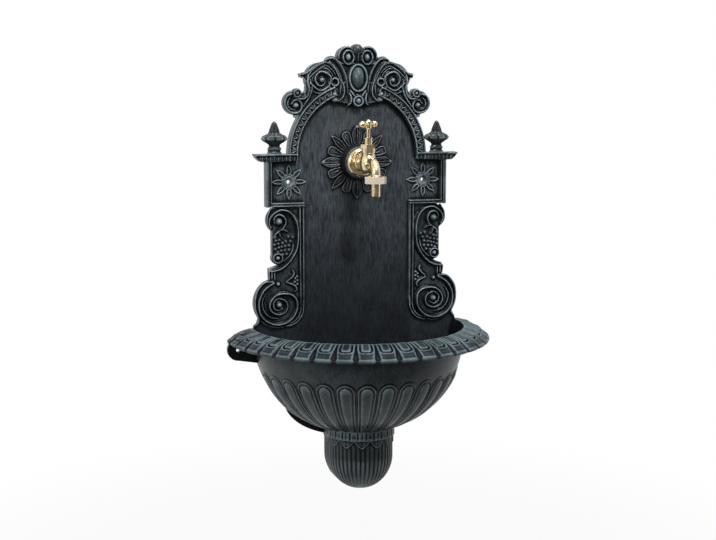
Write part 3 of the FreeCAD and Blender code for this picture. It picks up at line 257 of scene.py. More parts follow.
class Mould:
    """Collects carved shells and casts them as one closed skin."""

    small_bead = 4.0        # radius below which a bead is made of fewer faces

    def __init__(self, ground: float, paired: bool = False) -> None:
        """Start an empty mould.

        Args:
            ground: Level out of the wall that strokes and beads stand on.
            paired: Whether each shell is repeated on the other side of the middle.
        """
        self.ground = ground
        self.paired = paired
        self.shells: list[bpy.types.Mesh] = []

    def _keep(self, bm: Geometry) -> None:
        """Store a finished shell, and its mirror image in a paired mould.

        Args:
            bm: The shell, which is freed.
        """
        for _ in range(2 if self.paired else 1):
            bmesh.ops.recalc_face_normals(bm, faces=bm.faces)
            shell = bpy.data.meshes.new("shell")
            bm.to_mesh(shell)
            self.shells.append(shell)
            bmesh.ops.scale(bm, vec=(-1, 1, 1), verts=bm.verts)
        bm.free()

    def strokes(self, strokes: Iterable[Stroke], ground: float | None = None) -> None:
        """Carve strokes.

        Args:
            strokes: Strokes to carve.
            ground: Level that they stand on, the mould's own unless given.
        """
        level = self.ground if ground is None else ground
        for stroke in strokes:
            frames = stroke.frames(level)
            outline = stroke.section.outline()
            bm = bmesh.new()
            circle = bmesh.ops.create_circle(bm, cap_ends=True, segments=len(outline), radius=1.0)
            for vert, (across, out) in zip(circle["verts"], outline):
                vert.co = (across, out, 0.0)
            bmesh.ops.transform(bm, matrix=frames[0], verts=bm.verts)
            cap = list(bm.faces)
            for before, after in zip(frames, frames[1:]):
                grown = bmesh.ops.extrude_face_region(bm, geom=cap)["geom"]
                cap = [part for part in grown if isinstance(part, bmesh.types.BMFace)]
                verts = [part for part in grown if isinstance(part, bmesh.types.BMVert)]
                bmesh.ops.transform(bm, matrix=after @ before.inverted(), verts=verts)
            self._keep(bm)

    def beads(self, beads: Iterable[Bead], ground: float | None = None) -> None:
        """Set beads.

        Args:
            beads: Beads to set.
            ground: Level that they sit on, the mould's own unless given.
        """
        level = self.ground if ground is None else ground
        for bead in beads:
            bm = bmesh.new()
            grain = 2 if bead.radius < self.small_bead else 3
            bmesh.ops.create_icosphere(bm, subdivisions=grain, radius=bead.radius)
            rise = (bead.height or bead.radius) / bead.radius
            spot = Matrix.Translation((bead.x, -level, bead.z))
            shape = Matrix.Diagonal((1, rise, bead.tall, 1))
            bmesh.ops.transform(bm, matrix=spot @ shape, verts=bm.verts)
            self._keep(bm)

    def slab(self, outline: Sequence[Point], front: float) -> None:
        """Flat ground that rises from inside the plate.

        Args:
            outline: Corners (x, z).
            front: Level of its face.
        """
        bm = bmesh.new()
        face = bm.faces.new([bm.verts.new((x, -BURIED_OUT, z)) for x, z in outline])
        grown = bmesh.ops.extrude_face_region(bm, geom=[face])["geom"]
        verts = [part for part in grown if isinstance(part, bmesh.types.BMVert)]
        bmesh.ops.translate(bm, vec=(0, BURIED_OUT - front, 0), verts=verts)
        self._keep(bm)

    def discs(self, discs: Iterable[Disc], front: float) -> None:
        """Round grounds given as (x, z, radius)."""
        for x, z, radius in discs:
            self.slab(arc((x, z), radius, 0, 360, 41)[:-1], front)

    def turned(self, outline: Sequence[Point], centre: Point) -> None:
        """Body turned about a level axis that points out of the wall.

        Args:
            outline: Closed outline of (radius, out) points.
            centre: Place (x, z) of the axis.
        """
        bm = bmesh.new()
        verts = [bm.verts.new((centre[0] + r, -out, centre[1])) for r, out in outline]
        edges = [bm.edges.new(pair) for pair in zip(verts, verts[1:] + verts[:1])]
        bmesh.ops.spin(bm, geom=verts + edges, cent=(centre[0], 0, centre[1]), axis=(0, 1, 0),
                       angle=2 * math.pi, steps=64, use_merge=True)
        bmesh.ops.remove_doubles(bm, verts=bm.verts, dist=0.001)
        self._keep(bm)

    def cast(self, voxel: float, passes: int = 3) -> bpy.types.Mesh:
        """Fuse the shells into one skin, soften it as casting does, and cut it off at its root.

        Args:
            voxel: Grain of the fused skin.
            passes: Softening passes.

        Returns:
            The closed mesh, still in millimetres.
        """
        bm = bmesh.new()
        for shell in self.shells:
            bm.from_mesh(shell)
            bpy.data.meshes.remove(shell)
        rough = bpy.data.meshes.new("rough")
        bm.to_mesh(rough)
        bm.free()
        holder = bpy.data.objects.new("rough", rough)
        bpy.context.scene.collection.objects.link(holder)
        fuse = holder.modifiers.new("fuse", "REMESH")
        fuse.mode, fuse.voxel_size, fuse.adaptivity = "VOXEL", voxel, 0.0
        soften = holder.modifiers.new("soften", "SMOOTH")
        soften.factor, soften.iterations = 0.5, passes
        depsgraph = bpy.context.evaluated_depsgraph_get()
        skin = bpy.data.meshes.new_from_object(holder.evaluated_get(depsgraph), depsgraph=depsgraph)
        bpy.data.objects.remove(holder)
        bpy.data.meshes.remove(rough)
        bm = bmesh.new()
        bm.from_mesh(skin)
        cut_flat(bm, ROOT_OUT, keep_front=True)
        bm.to_mesh(skin)
        bm.free()
        return skin


def cut_flat(bm: Geometry, out: float, keep_front: bool) -> None:
    """Cut a mesh along a plane in front of the wall and close the cut.

    Args:
        bm: Mesh to cut.
        out: Distance of the plane from the wall.
        keep_front: Whether the part in front of the plane stays, or the part behind it.
    """
    everything = bm.verts[:] + bm.edges[:] + bm.faces[:]
    bmesh.ops.bisect_plane(bm, geom=everything, dist=1e-4, plane_co=(0, -out, 0),
                           plane_no=(0, 1 if keep_front else -1, 0), clear_outer=True)
    rim = [edge for edge in bm.edges if edge.is_boundary]
    bmesh.ops.triangle_fill(bm, use_beauty=False, use_dissolve=False, edges=rim)
    bmesh.ops.recalc_face_normals(bm, faces=bm.faces)


def behind(node: str, out: float) -> bpy.types.Mesh:
    """Part of a packed casting that lies behind a plane.

    Args:
        node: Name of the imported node.
        out: Distance of the plane from the wall.

    Returns:
        A closed mesh in millimetres.
    """
    bm = bmesh.new()
    bm.from_mesh(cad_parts[node].data)
    bmesh.ops.scale(bm, vec=(1 / MM, 1 / MM, 1 / MM), verts=bm.verts)
    bmesh.ops.remove_doubles(bm, verts=bm.verts, dist=0.005)
    cut_flat(bm, out, keep_front=False)
    mesh = bpy.data.meshes.new(node)
    bm.to_mesh(mesh)
    bm.free()
    return mesh


def mirrored(mesh: bpy.types.Mesh) -> bpy.types.Mesh:
    """Mirror image of a mesh across the middle of the fountain.

    Args:
        mesh: Mesh of one side.

    Returns:
        A new mesh for the other side.
    """
    bm = bmesh.new()
    bm.from_mesh(mesh)
    bmesh.ops.scale(bm, vec=(-1, 1, 1), verts=bm.verts)
    bmesh.ops.reverse_faces(bm, faces=bm.faces)
    twin = bpy.data.meshes.new(mesh.name)
    bm.to_mesh(twin)
    bm.free()
    return twin


def graded(rise: np.ndarray, grade: tuple[float, float, float]) -> np.ndarray:
    """Marks for a rise at each vertex, from a grade of (start, full, share)."""
    start, full, share = grade
    return np.clip((rise - start) / (full - start), 0, 1) * share


def note_relief(mesh: bpy.types.Mesh, fine: int = 6, broad: int = 40) -> None:
    """Store how much each vertex stands out of, or lies below, what is round it.

    Args:
        mesh: Mesh in millimetres with evenly spaced vertices, at least where its `carved` attribute is 1.
        fine: Smoothing passes for the small relief, stored as `proud`.
        broad: Smoothing passes for the wide relief, stored as `sunk`.
    """
    count = len(mesh.vertices)
    points, normals = np.empty(count * 3), np.empty(count * 3)
    mesh.vertices.foreach_get("co", points)
    mesh.vertices.foreach_get("normal", normals)
    points, normals = points.reshape(-1, 3), normals.reshape(-1, 3)
    ends = np.empty(len(mesh.edges) * 2, dtype=np.int32)
    mesh.edges.foreach_get("vertices", ends)
    a, b = ends.reshape(-1, 2).T
    degree = np.maximum(np.bincount(a, minlength=count) + np.bincount(b, minlength=count), 1)

    def softened(values: np.ndarray, passes: int) -> np.ndarray:
        """Values mixed with those of their neighbours.

        Args:
            values: Three values for each vertex.
            passes: How often they are mixed.

        Returns:
            The mixed values.
        """
        for _ in range(passes):
            sums = [np.bincount(a, values[b, i], count) + np.bincount(b, values[a, i], count)
                    for i in range(3)]
            values = 0.5 * values + 0.5 * np.stack(sums, axis=1) / degree[:, None]
        return values

    near = softened(points, fine)
    far = softened(near, broad)
    fine_rise = np.einsum("ij,ij->i", points - near, normals)
    broad_rise = np.einsum("ij,ij->i", points - far, normals)
    proud = graded(fine_rise, FINE_PROUD) + graded(broad_rise, BROAD_PROUD)
    # The sunk mark darkens hollows in the material: partly patina left there, partly painted shade.
    sunk = graded(-fine_rise, FINE_SUNK) + graded(-broad_rise, BROAD_SUNK)
    if "carved" in mesh.attributes:
        carved = np.empty(count, dtype=np.float32)
        mesh.attributes["carved"].data.foreach_get("value", carved)
        proud, sunk = proud * carved, sunk * carved
    for name, values in (("proud", proud), ("sunk", sunk)):
        layer = mesh.attributes.new(name, "FLOAT", "POINT")
        layer.data.foreach_set("value", np.clip(values, 0, 1).astype(np.float32))


def place(name: str, mesh: bpy.types.Mesh, finish: "Finish", slot: str, *nodes: str,
          smooth: bool = True) -> None:
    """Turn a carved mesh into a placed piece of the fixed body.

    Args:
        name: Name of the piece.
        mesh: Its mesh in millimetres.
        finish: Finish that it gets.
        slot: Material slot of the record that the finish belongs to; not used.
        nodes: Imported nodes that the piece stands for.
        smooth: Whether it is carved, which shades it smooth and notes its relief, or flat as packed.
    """
    if smooth:
        note_relief(mesh)
    mesh.transform(Matrix.Scale(MM, 4))
    mesh.name = name
    mesh.materials.clear()
    mesh.materials.append(finish.material())
    mesh.shade_smooth() if smooth else mesh.shade_flat()
    piece = bpy.data.objects.new(name, mesh)
    bpy.context.scene.collection.objects.link(piece)
    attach(piece, "fountain")
    if nodes:
        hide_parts(*nodes)
    LOG.info("%s: %d vertices, %d faces", name, len(mesh.vertices), len(mesh.polygons))


def place_pair(name: str, mesh: bpy.types.Mesh, finish: "Finish", slot: str) -> None:
    """Place a right-hand mesh and its mirror image.

    Args:
        name: Name of the pair, to which the side is added.
        mesh: Mesh of the right-hand piece in millimetres.
        finish: Finish that both get.
        slot: Material slot of the record that the finish belongs to.
    """
    twin = mirrored(mesh)
    place(f"{name}_right", mesh, finish, slot)
    place(f"{name}_left", twin, finish, slot)


class Wiring:
    """Adds and links shader nodes in one node tree."""

    def __init__(self, tree: bpy.types.NodeTree) -> None:
        """Work in a node tree."""
        self.tree = tree

    def add(self, kind: str, inputs: dict | None = None, **settings: object) -> bpy.types.Node:
        """Add a node.

        Args:
            kind: Node type without its leading "ShaderNode".
            inputs: Values, or sockets to link, by input name or number.
            settings: Properties of the node.

        Returns:
            The node.
        """
        node = self.tree.nodes.new("ShaderNode" + kind)
        for key, value in settings.items():
            setattr(node, key, value)
        for key, value in (inputs or {}).items():
            if isinstance(value, bpy.types.NodeSocket):
                self.tree.links.new(value, node.inputs[key])
            else:
                node.inputs[key].default_value = value
        return node

    def math(self, operation: str, a: object, b: object = 0.0) -> bpy.types.NodeSocket:
        """Result of a math operation on two values or sockets."""
        return self.add("Math", {0: a, 1: b}, operation=operation).outputs[0]

    def spread(self, value: bpy.types.NodeSocket, low: float, high: float, start: float = 0.0,
               stop: float = 1.0) -> bpy.types.NodeSocket:
        """Value between two limits stretched to a new range, smoothly and clamped.

        Args:
            value: Socket to stretch.
            low: Value that becomes start.
            high: Value that becomes stop.
            start: One end of the new range.
            stop: Its other end.

        Returns:
            The stretched value.
        """
        node = self.add("MapRange", {"Value": value, "From Min": low, "From Max": high, "To Min": start,
                                     "To Max": stop}, interpolation_type="SMOOTHSTEP")
        return node.outputs["Result"]

    def blend(self, factor: object, a: object, b: object) -> bpy.types.NodeSocket:
        """Mix of two colours.

        Args:
            factor: Share of the second colour, as a value or socket.
            a: First colour or its socket.
            b: Second colour or its socket.

        Returns:
            The mixed colour.
        """
        node = self.add("Mix", data_type="RGBA")
        for socket, value in ((node.inputs[0], factor), (node.inputs[6], a), (node.inputs[7], b)):
            if isinstance(value, bpy.types.NodeSocket):
                self.tree.links.new(value, socket)
            else:
                socket.default_value = (*value, 1.0) if isinstance(value, tuple) else value
        return node.outputs[2]


def effect_group(name: str, inputs: dict[str, float],
                 outputs: Sequence[str]) -> tuple[Wiring, dict, bpy.types.Node]:
    """Start a shader node group with named inputs and outputs.

    Args:
        name: Name of the group.
        inputs: Default value of each number input; a vector input named Place comes first.
        outputs: Names of the number outputs.

    Returns:
        Wiring inside the group, its input sockets by name, and its output node.
    """
    tree = bpy.data.node_groups.new(name, "ShaderNodeTree")
    tree.interface.new_socket("Place", in_out="INPUT", socket_type="NodeSocketVector")
    for label, value in inputs.items():
        tree.interface.new_socket(label, in_out="INPUT", socket_type="NodeSocketFloat").default_value = value
    for label in outputs:
        tree.interface.new_socket(label, in_out="OUTPUT", socket_type="NodeSocketFloat")
    start, end = tree.nodes.new("NodeGroupInput"), tree.nodes.new("NodeGroupOutput")
    return Wiring(tree), {socket.name: socket for socket in start.outputs}, end


class Effects:
    """Surface effects that the finishes share, each built once as a node group."""

    _built: dict[str, bpy.types.NodeTree] = {}

    @classmethod
    def get(cls, name: str) -> bpy.types.NodeTree:
        """Node group of an effect, built when it is first asked for.

        Args:
            name: Name of the effect, "mottle" or "streaks".

        Returns:
            The group.
        """
        if name not in cls._built:
            cls._built[name] = getattr(cls, "_" + name)()
        return cls._built[name]

    @staticmethod
    def _mottle() -> bpy.types.NodeTree:
        """Cloudy unevenness of a rubbed patina, with a finer speckle in it.

        Returns:
            Group with the inputs Size in clouds per metre and Speckle, and the outputs Cloud and Grit.
        """
        wiring, given, end = effect_group("mottle", {"Size": 40.0, "Speckle": 0.4}, ["Cloud", "Grit"])
        broad = wiring.add("TexNoise", {"Vector": given["Place"], "Scale": given["Size"], "Detail": 4.0,
                                        "Roughness": 0.6})
        fine_size = wiring.math("MULTIPLY", given["Size"], 14.0)
        fine = wiring.add("TexNoise", {"Vector": given["Place"], "Scale": fine_size, "Detail": 3.0,
                                       "Roughness": 0.7})
        centred = wiring.spread(fine.outputs["Fac"], 0.35, 0.7, -0.5, 0.5)
        speckle = wiring.math("MULTIPLY", centred, given["Speckle"])
        cloud = wiring.math("ADD", wiring.spread(broad.outputs["Fac"], 0.3, 0.7), speckle)
        wiring.tree.links.new(cloud, end.inputs["Cloud"])
        wiring.tree.links.new(fine.outputs["Fac"], end.inputs["Grit"])
        return wiring.tree

    @staticmethod
    def _streaks() -> bpy.types.NodeTree:
        """Upright brush streaks left by wiping a finish up and down.

        Returns:
            Group with the inputs Width and Length in streaks per metre, and the output Streak.
        """
        wiring, given, end = effect_group("streaks", {"Width": 480.0, "Length": 60.0}, ["Streak"])
        size = wiring.add("CombineXYZ", {"X": given["Width"], "Y": given["Width"], "Z": given["Length"]})
        stretched = wiring.add("VectorMath", {0: given["Place"], 1: size.outputs[0]}, operation="MULTIPLY")
        noise = wiring.add("TexNoise", {"Vector": stretched.outputs[0], "Scale": 1.0, "Detail": 4.0,
                                        "Roughness": 0.75})
        wiring.tree.links.new(wiring.spread(noise.outputs["Fac"], 0.3, 0.74), end.inputs["Streak"])
        return wiring.tree


@dataclass(frozen=True)
class Finish:
    """What every finish has: a name, and the material that is made once from it."""

    name: str

    def material(self) -> bpy.types.Material:
        """Material of the finish, made on first use.

        Returns:
            The material, shared by all pieces with this finish.
        """
        known = bpy.data.materials.get(self.name)
        if known:
            return known
        made = bpy.data.materials.new(self.name)
        made.use_nodes = True
        made.node_tree.nodes.clear()
        wiring = Wiring(made.node_tree)
        shader = wiring.add("BsdfPrincipled")
        wiring.add("OutputMaterial", {"Surface": shader.outputs["BSDF"]})
        place = wiring.add("TexCoord").outputs["Object"]
        self.dress(wiring, shader, place)
        return made

    def dress(self, wiring: Wiring, shader: bpy.types.Node, place: bpy.types.NodeSocket) -> None:
        """Wire the finish into its shader, which each kind of finish does in its own way.

        Args:
            wiring: Wiring of the material.
            shader: Its shader.
            place: Object coordinates.
        """
        raise NotImplementedError

    def bump(self, wiring: Wiring, shader: bpy.types.Node, height: bpy.types.NodeSocket,
             depth: float) -> None:
        """Give the shader a small relief of a depth in metres."""
        bump = wiring.add("Bump", {"Height": height, "Distance": depth, "Strength": 1.0})
        wiring.tree.links.new(bump.outputs["Normal"], shader.inputs["Normal"])


@dataclass(frozen=True)
class Patina(Finish):
    """Rubbed patina of cast iron: black in the hollows, partly patina and partly painted shade, grey-green on
    what stands proud.

    Attributes:
        base: Colour of plain surfaces.
        proud: Colour rubbed onto edges and crowns.
        hollow: Colour in the hollows, partly the patina left there and partly painted shade.
        roughness: Roughness of plain surfaces.
        veil: How much of the proud colour lies over plain surfaces in streaks and clouds.
        streaky: Share of streaks in the veil, the rest being clouds.
        fade: Heights in metres between which the veil grows from its low share to all of it, painted shade
            that darkens what lies lower.
        flank: Distances in metres from the middle between which it grows from its inner share.
        pitting: Depth of the casting's grain in metres.
        gloss: Strength of its reflections.
        lit_facing: Axis that the veiled surfaces face, painted light that leaves the other faces darker as
            painted shade: Z for up, Y for away from the wall, none for all.
        shaded: Whether hollows get painted shade found by ambient occlusion from what stands near, for plain
            surfaces without relief notes.
    """

    base: Colour = (0.0099, 0.0124, 0.0156)
    proud: Colour = (0.17, 0.213, 0.22)
    hollow: Colour = (0.0021, 0.0028, 0.0035)
    roughness: float = 0.34
    veil: float = 0.1
    streaky: float = 0.3
    fade: tuple[float, float] = (-0.9, -0.8)
    flank: tuple[float, float] = (0.0, 0.001)
    pitting: float = 0.0002
    gloss: float = 0.33
    lit_facing: str = ""
    shaded: bool = False
    # Painted shade: the share of the veil that is left below the fade.
    veil_left_in_low_shade: ClassVar[float] = 0.16        # share of the veil below the fade
    inner_veil: ClassVar[float] = 0.45      # share of the veil inside the flank
    nearness: ClassVar[float] = 0.012       # how near a neighbour shades a hollow, in metres

    def dress(self, wiring: Wiring, shader: bpy.types.Node, place: bpy.types.NodeSocket) -> None:
        """Wire the patina into its shader.

        Args:
            wiring: Wiring of the material.
            shader: Its shader.
            place: Object coordinates.
        """
        mottle = wiring.add("Group", node_tree=Effects.get("mottle"))
        streaks = wiring.add("Group", node_tree=Effects.get("streaks"))
        for node in (mottle, streaks):
            wiring.tree.links.new(place, node.inputs["Place"])
        cloud = wiring.add("Clamp", {"Value": mottle.outputs["Cloud"]}).outputs[0]
        proud = wiring.add("Attribute", attribute_name="proud").outputs["Fac"]
        sunk = wiring.add("Attribute", attribute_name="sunk").outputs["Fac"]
        if self.shaded:
            # Painted shade: ambient occlusion darkens what stands near other surfaces.
            near = wiring.add("AmbientOcclusion", {"Distance": self.nearness}, samples=8).outputs["AO"]
            sunk = wiring.spread(near, 0.95, 0.45)
        # The veil of streaks and clouds: painted shade thins it low down, and if asked it stays only on faces
        # turned one way as painted light; it is also thinner near the middle.
        spot = wiring.add("SeparateXYZ", {0: place})
        aside = wiring.spread(wiring.math("ABSOLUTE", spot.outputs["X"]), *self.flank, self.inner_veil, 1.0)
        risen = wiring.spread(spot.outputs["Z"], *self.fade, self.veil_left_in_low_shade, 1.0)
        risen = wiring.math("MULTIPLY", risen, aside)
        mixed = wiring.math("ADD", wiring.math("MULTIPLY", cloud, 1 - self.streaky),
                            wiring.math("MULTIPLY", streaks.outputs["Streak"], self.streaky))
        # Painted light and shade by facing: faces turned the given way keep the veil, the others stay darker.
        if self.lit_facing:
            normal = wiring.add("SeparateXYZ", {0: wiring.add("NewGeometry").outputs["Normal"]})
            turned_to_light = wiring.math("MULTIPLY", normal.outputs[self.lit_facing], -1.0 if self.lit_facing == "Y" else 1.0)
            risen = wiring.math("MULTIPLY", risen, wiring.spread(turned_to_light, 0.15, 0.6))
        grown = wiring.math("MULTIPLY", mixed, risen)
        body = wiring.blend(wiring.math("MULTIPLY", grown, self.veil), self.base, self.proud)
        # Crowns rubbed bright; hollows darkened, partly the patina left there and partly painted shade.
        uneven = wiring.spread(cloud, 0.0, 1.0, 0.6, 1.2)
        crowns = wiring.math("MULTIPLY", wiring.spread(proud, 0.12, 0.85), uneven)
        rubbed = wiring.add("Clamp", {"Value": crowns}).outputs[0]
        crowned = wiring.blend(rubbed, body, self.proud)
        colour = wiring.blend(wiring.spread(sunk, 0.03, 0.45), crowned, self.hollow)
        wiring.tree.links.new(colour, shader.inputs["Base Color"])
        grit = wiring.spread(mottle.outputs["Grit"], 0.3, 0.7, self.roughness - 0.06, self.roughness + 0.1)
        wiring.tree.links.new(grit, shader.inputs["Roughness"])
        shader.inputs["Specular IOR Level"].default_value = self.gloss
        self.bump(wiring, shader, mottle.outputs["Grit"], self.pitting)


@dataclass(frozen=True)
class Metal(Finish):
    """Bare metal with fine tool marks and a few darker clouds.

    Attributes:
        colour: Colour of the metal.
        tarnish: Colour of its darker clouds.
        roughness: Roughness where it is cleanest.
        marks: Depth of the tool marks in metres.
        metallic: Share that mirrors as bare metal does, the rest being a matt bloom.
    """

    colour: Colour = (0.6, 0.6, 0.6)
    tarnish: Colour = (0.3, 0.3, 0.3)
    roughness: float = 0.3
    marks: float = 0.00002
    metallic: float = 1.0

    def dress(self, wiring: Wiring, shader: bpy.types.Node, place: bpy.types.NodeSocket) -> None:
        """Wire the metal into its shader.

        Args:
            wiring: Wiring of the material.
            shader: Its shader.
            place: Object coordinates.
        """
        mottle = wiring.add("Group", {"Size": 60.0, "Speckle": 0.2}, node_tree=Effects.get("mottle"))
        wiring.tree.links.new(place, mottle.inputs["Place"])
        cloud = wiring.add("Clamp", {"Value": mottle.outputs["Cloud"]}).outputs[0]
        dim = wiring.spread(cloud, 0.45, 1.0, 0.0, 0.4)
        wiring.tree.links.new(wiring.blend(dim, self.colour, self.tarnish), shader.inputs["Base Color"])
        rough = wiring.spread(cloud, 0.2, 1.0, self.roughness, self.roughness + 0.12)
        wiring.tree.links.new(rough, shader.inputs["Roughness"])
        shader.inputs["Metallic"].default_value = self.metallic
        if self.marks:
            self.bump(wiring, shader, mottle.outputs["Grit"], self.marks)


@dataclass(frozen=True)
class Moulded(Finish):
    """Rubber or moulded plastic with a fine grain.

    Attributes:
        colour: Colour of the material.
        roughness: Its roughness.
        grain: Depth of the grain in metres.
    """

    colour: Colour = (0.02, 0.02, 0.022)
    roughness: float = 0.6
    grain: float = 0.00004

    def dress(self, wiring: Wiring, shader: bpy.types.Node, place: bpy.types.NodeSocket) -> None:
        """Wire rubber or plastic into its shader.

        Args:
            wiring: Wiring of the material.
            shader: Its shader.
            place: Object coordinates.
        """
        mottle = wiring.add("Group", {"Size": 120.0, "Speckle": 0.5}, node_tree=Effects.get("mottle"))
        wiring.tree.links.new(place, mottle.inputs["Place"])
        lighter = tuple(min(1.0, value * 1.6) for value in self.colour)
        cloud = wiring.add("Clamp", {"Value": mottle.outputs["Cloud"]}).outputs[0]
        wiring.tree.links.new(wiring.blend(cloud, self.colour, lighter), shader.inputs["Base Color"])
        rough = wiring.spread(mottle.outputs["Grit"], 0.3, 0.7, self.roughness - 0.08, self.roughness + 0.08)
        wiring.tree.links.new(rough, shader.inputs["Roughness"])
        self.bump(wiring, shader, mottle.outputs["Grit"], self.grain)


# The plain field: painted shade near the relief by ambient occlusion, and painted shade that thins its veil
# low down, so it is lighter towards the top.
PLATE_FIELD = Patina("plate_field_patina", base=(0.0062, 0.0074, 0.0103), proud=(0.255, 0.305, 0.348),
                     shaded=True, veil=0.9, streaky=0.75, fade=(-0.25, 0.06), flank=(0.084, 0.1))
PLATE_CARVED = Patina("plate_carved_patina", base=(0.005, 0.0078, 0.0106), proud=(0.27, 0.34, 0.369),
                      veil=0.26, roughness=0.24)
CABOCHON_IRON = Patina("cabochon_patina", base=(0.0142, 0.0213, 0.0234), proud=(0.191, 0.27, 0.284),
                       veil=0.6, roughness=0.24, pitting=0.0001)
GRAPE_IRON = Patina("grape_patina", base=(0.0057, 0.0071, 0.0085), proud=(0.177, 0.22, 0.241),
                    roughness=0.2, pitting=0.00005, gloss=0.44)
FINIAL_IRON = Patina("finial_patina", base=(0.005, 0.0078, 0.0106), proud=(0.248, 0.312, 0.333),
                     veil=0.18, roughness=0.26)
# The rim's veil only on faces turned up: painted light on its top, painted shade on its underside.
RIM_IRON = Patina("rim_patina", base=(0.0035, 0.006, 0.0078), proud=(0.135, 0.188, 0.209),
                  veil=0.25, streaky=0.1, gloss=0.11, lit_facing="Z")
STAR_IRON = Patina("star_patina", base=(0.017, 0.0234, 0.0277), proud=(0.34, 0.418, 0.447),
                   veil=0.8, roughness=0.24)
# Bowl and pendant: painted shade thins the veil below the fade, darker towards the pendant's bottom.
BOWL_IRON = Patina("bowl_patina", base=(0.0128, 0.0186, 0.022), proud=(0.25, 0.32, 0.348),
                   veil=0.38, streaky=0.6, fade=(-0.46, -0.36), roughness=0.28)
# The basin's back: painted shade by ambient occlusion and almost no veil.
BASIN_BACK_IRON = Patina("basin_back_patina", base=(0.0035, 0.0043, 0.0057), shaded=True, veil=0.03)
# The rosette's veil only on faces turned away from the wall: painted light on its fronts, painted shade on
# its sides.
ROSETTE_IRON = Patina("rosette_patina", base=(0.0085, 0.0106, 0.0142), proud=(0.284, 0.326, 0.362),
                      veil=0.28, roughness=0.28, lit_facing="Y")
BRASS = Metal("polished_brass", colour=(0.96, 0.79, 0.49), tarnish=(0.64, 0.46, 0.22), roughness=0.17,
              marks=0.0, metallic=0.95)
SATIN_BRASS = Metal("satin_brass", colour=(0.95, 0.84, 0.66), tarnish=(0.74, 0.62, 0.45), roughness=0.26,
                    marks=0.0, metallic=0.3)
ZINC = Metal("zinc_steel", colour=(0.56, 0.57, 0.58), tarnish=(0.33, 0.34, 0.36), roughness=0.35)
STAINLESS = Metal("stainless_steel", colour=(0.62, 0.62, 0.61), tarnish=(0.45, 0.45, 0.44), roughness=0.25)
RUBBER = Moulded("black_rubber", colour=(0.018, 0.018, 0.018), roughness=0.75)
PLASTIC = Moulded("black_plastic", colour=(0.024, 0.024, 0.026), roughness=0.45)


@dataclass
class PlateCore:
    """Plain part of the back plate: its flat field, holes, hollows and foot, as packed."""

    def build(self) -> None:
        """Place the core."""
        place("plate_core", behind("back_plate", FIELD_OUT), PLATE_FIELD, "plate_iron", "back_plate",
              smooth=False)


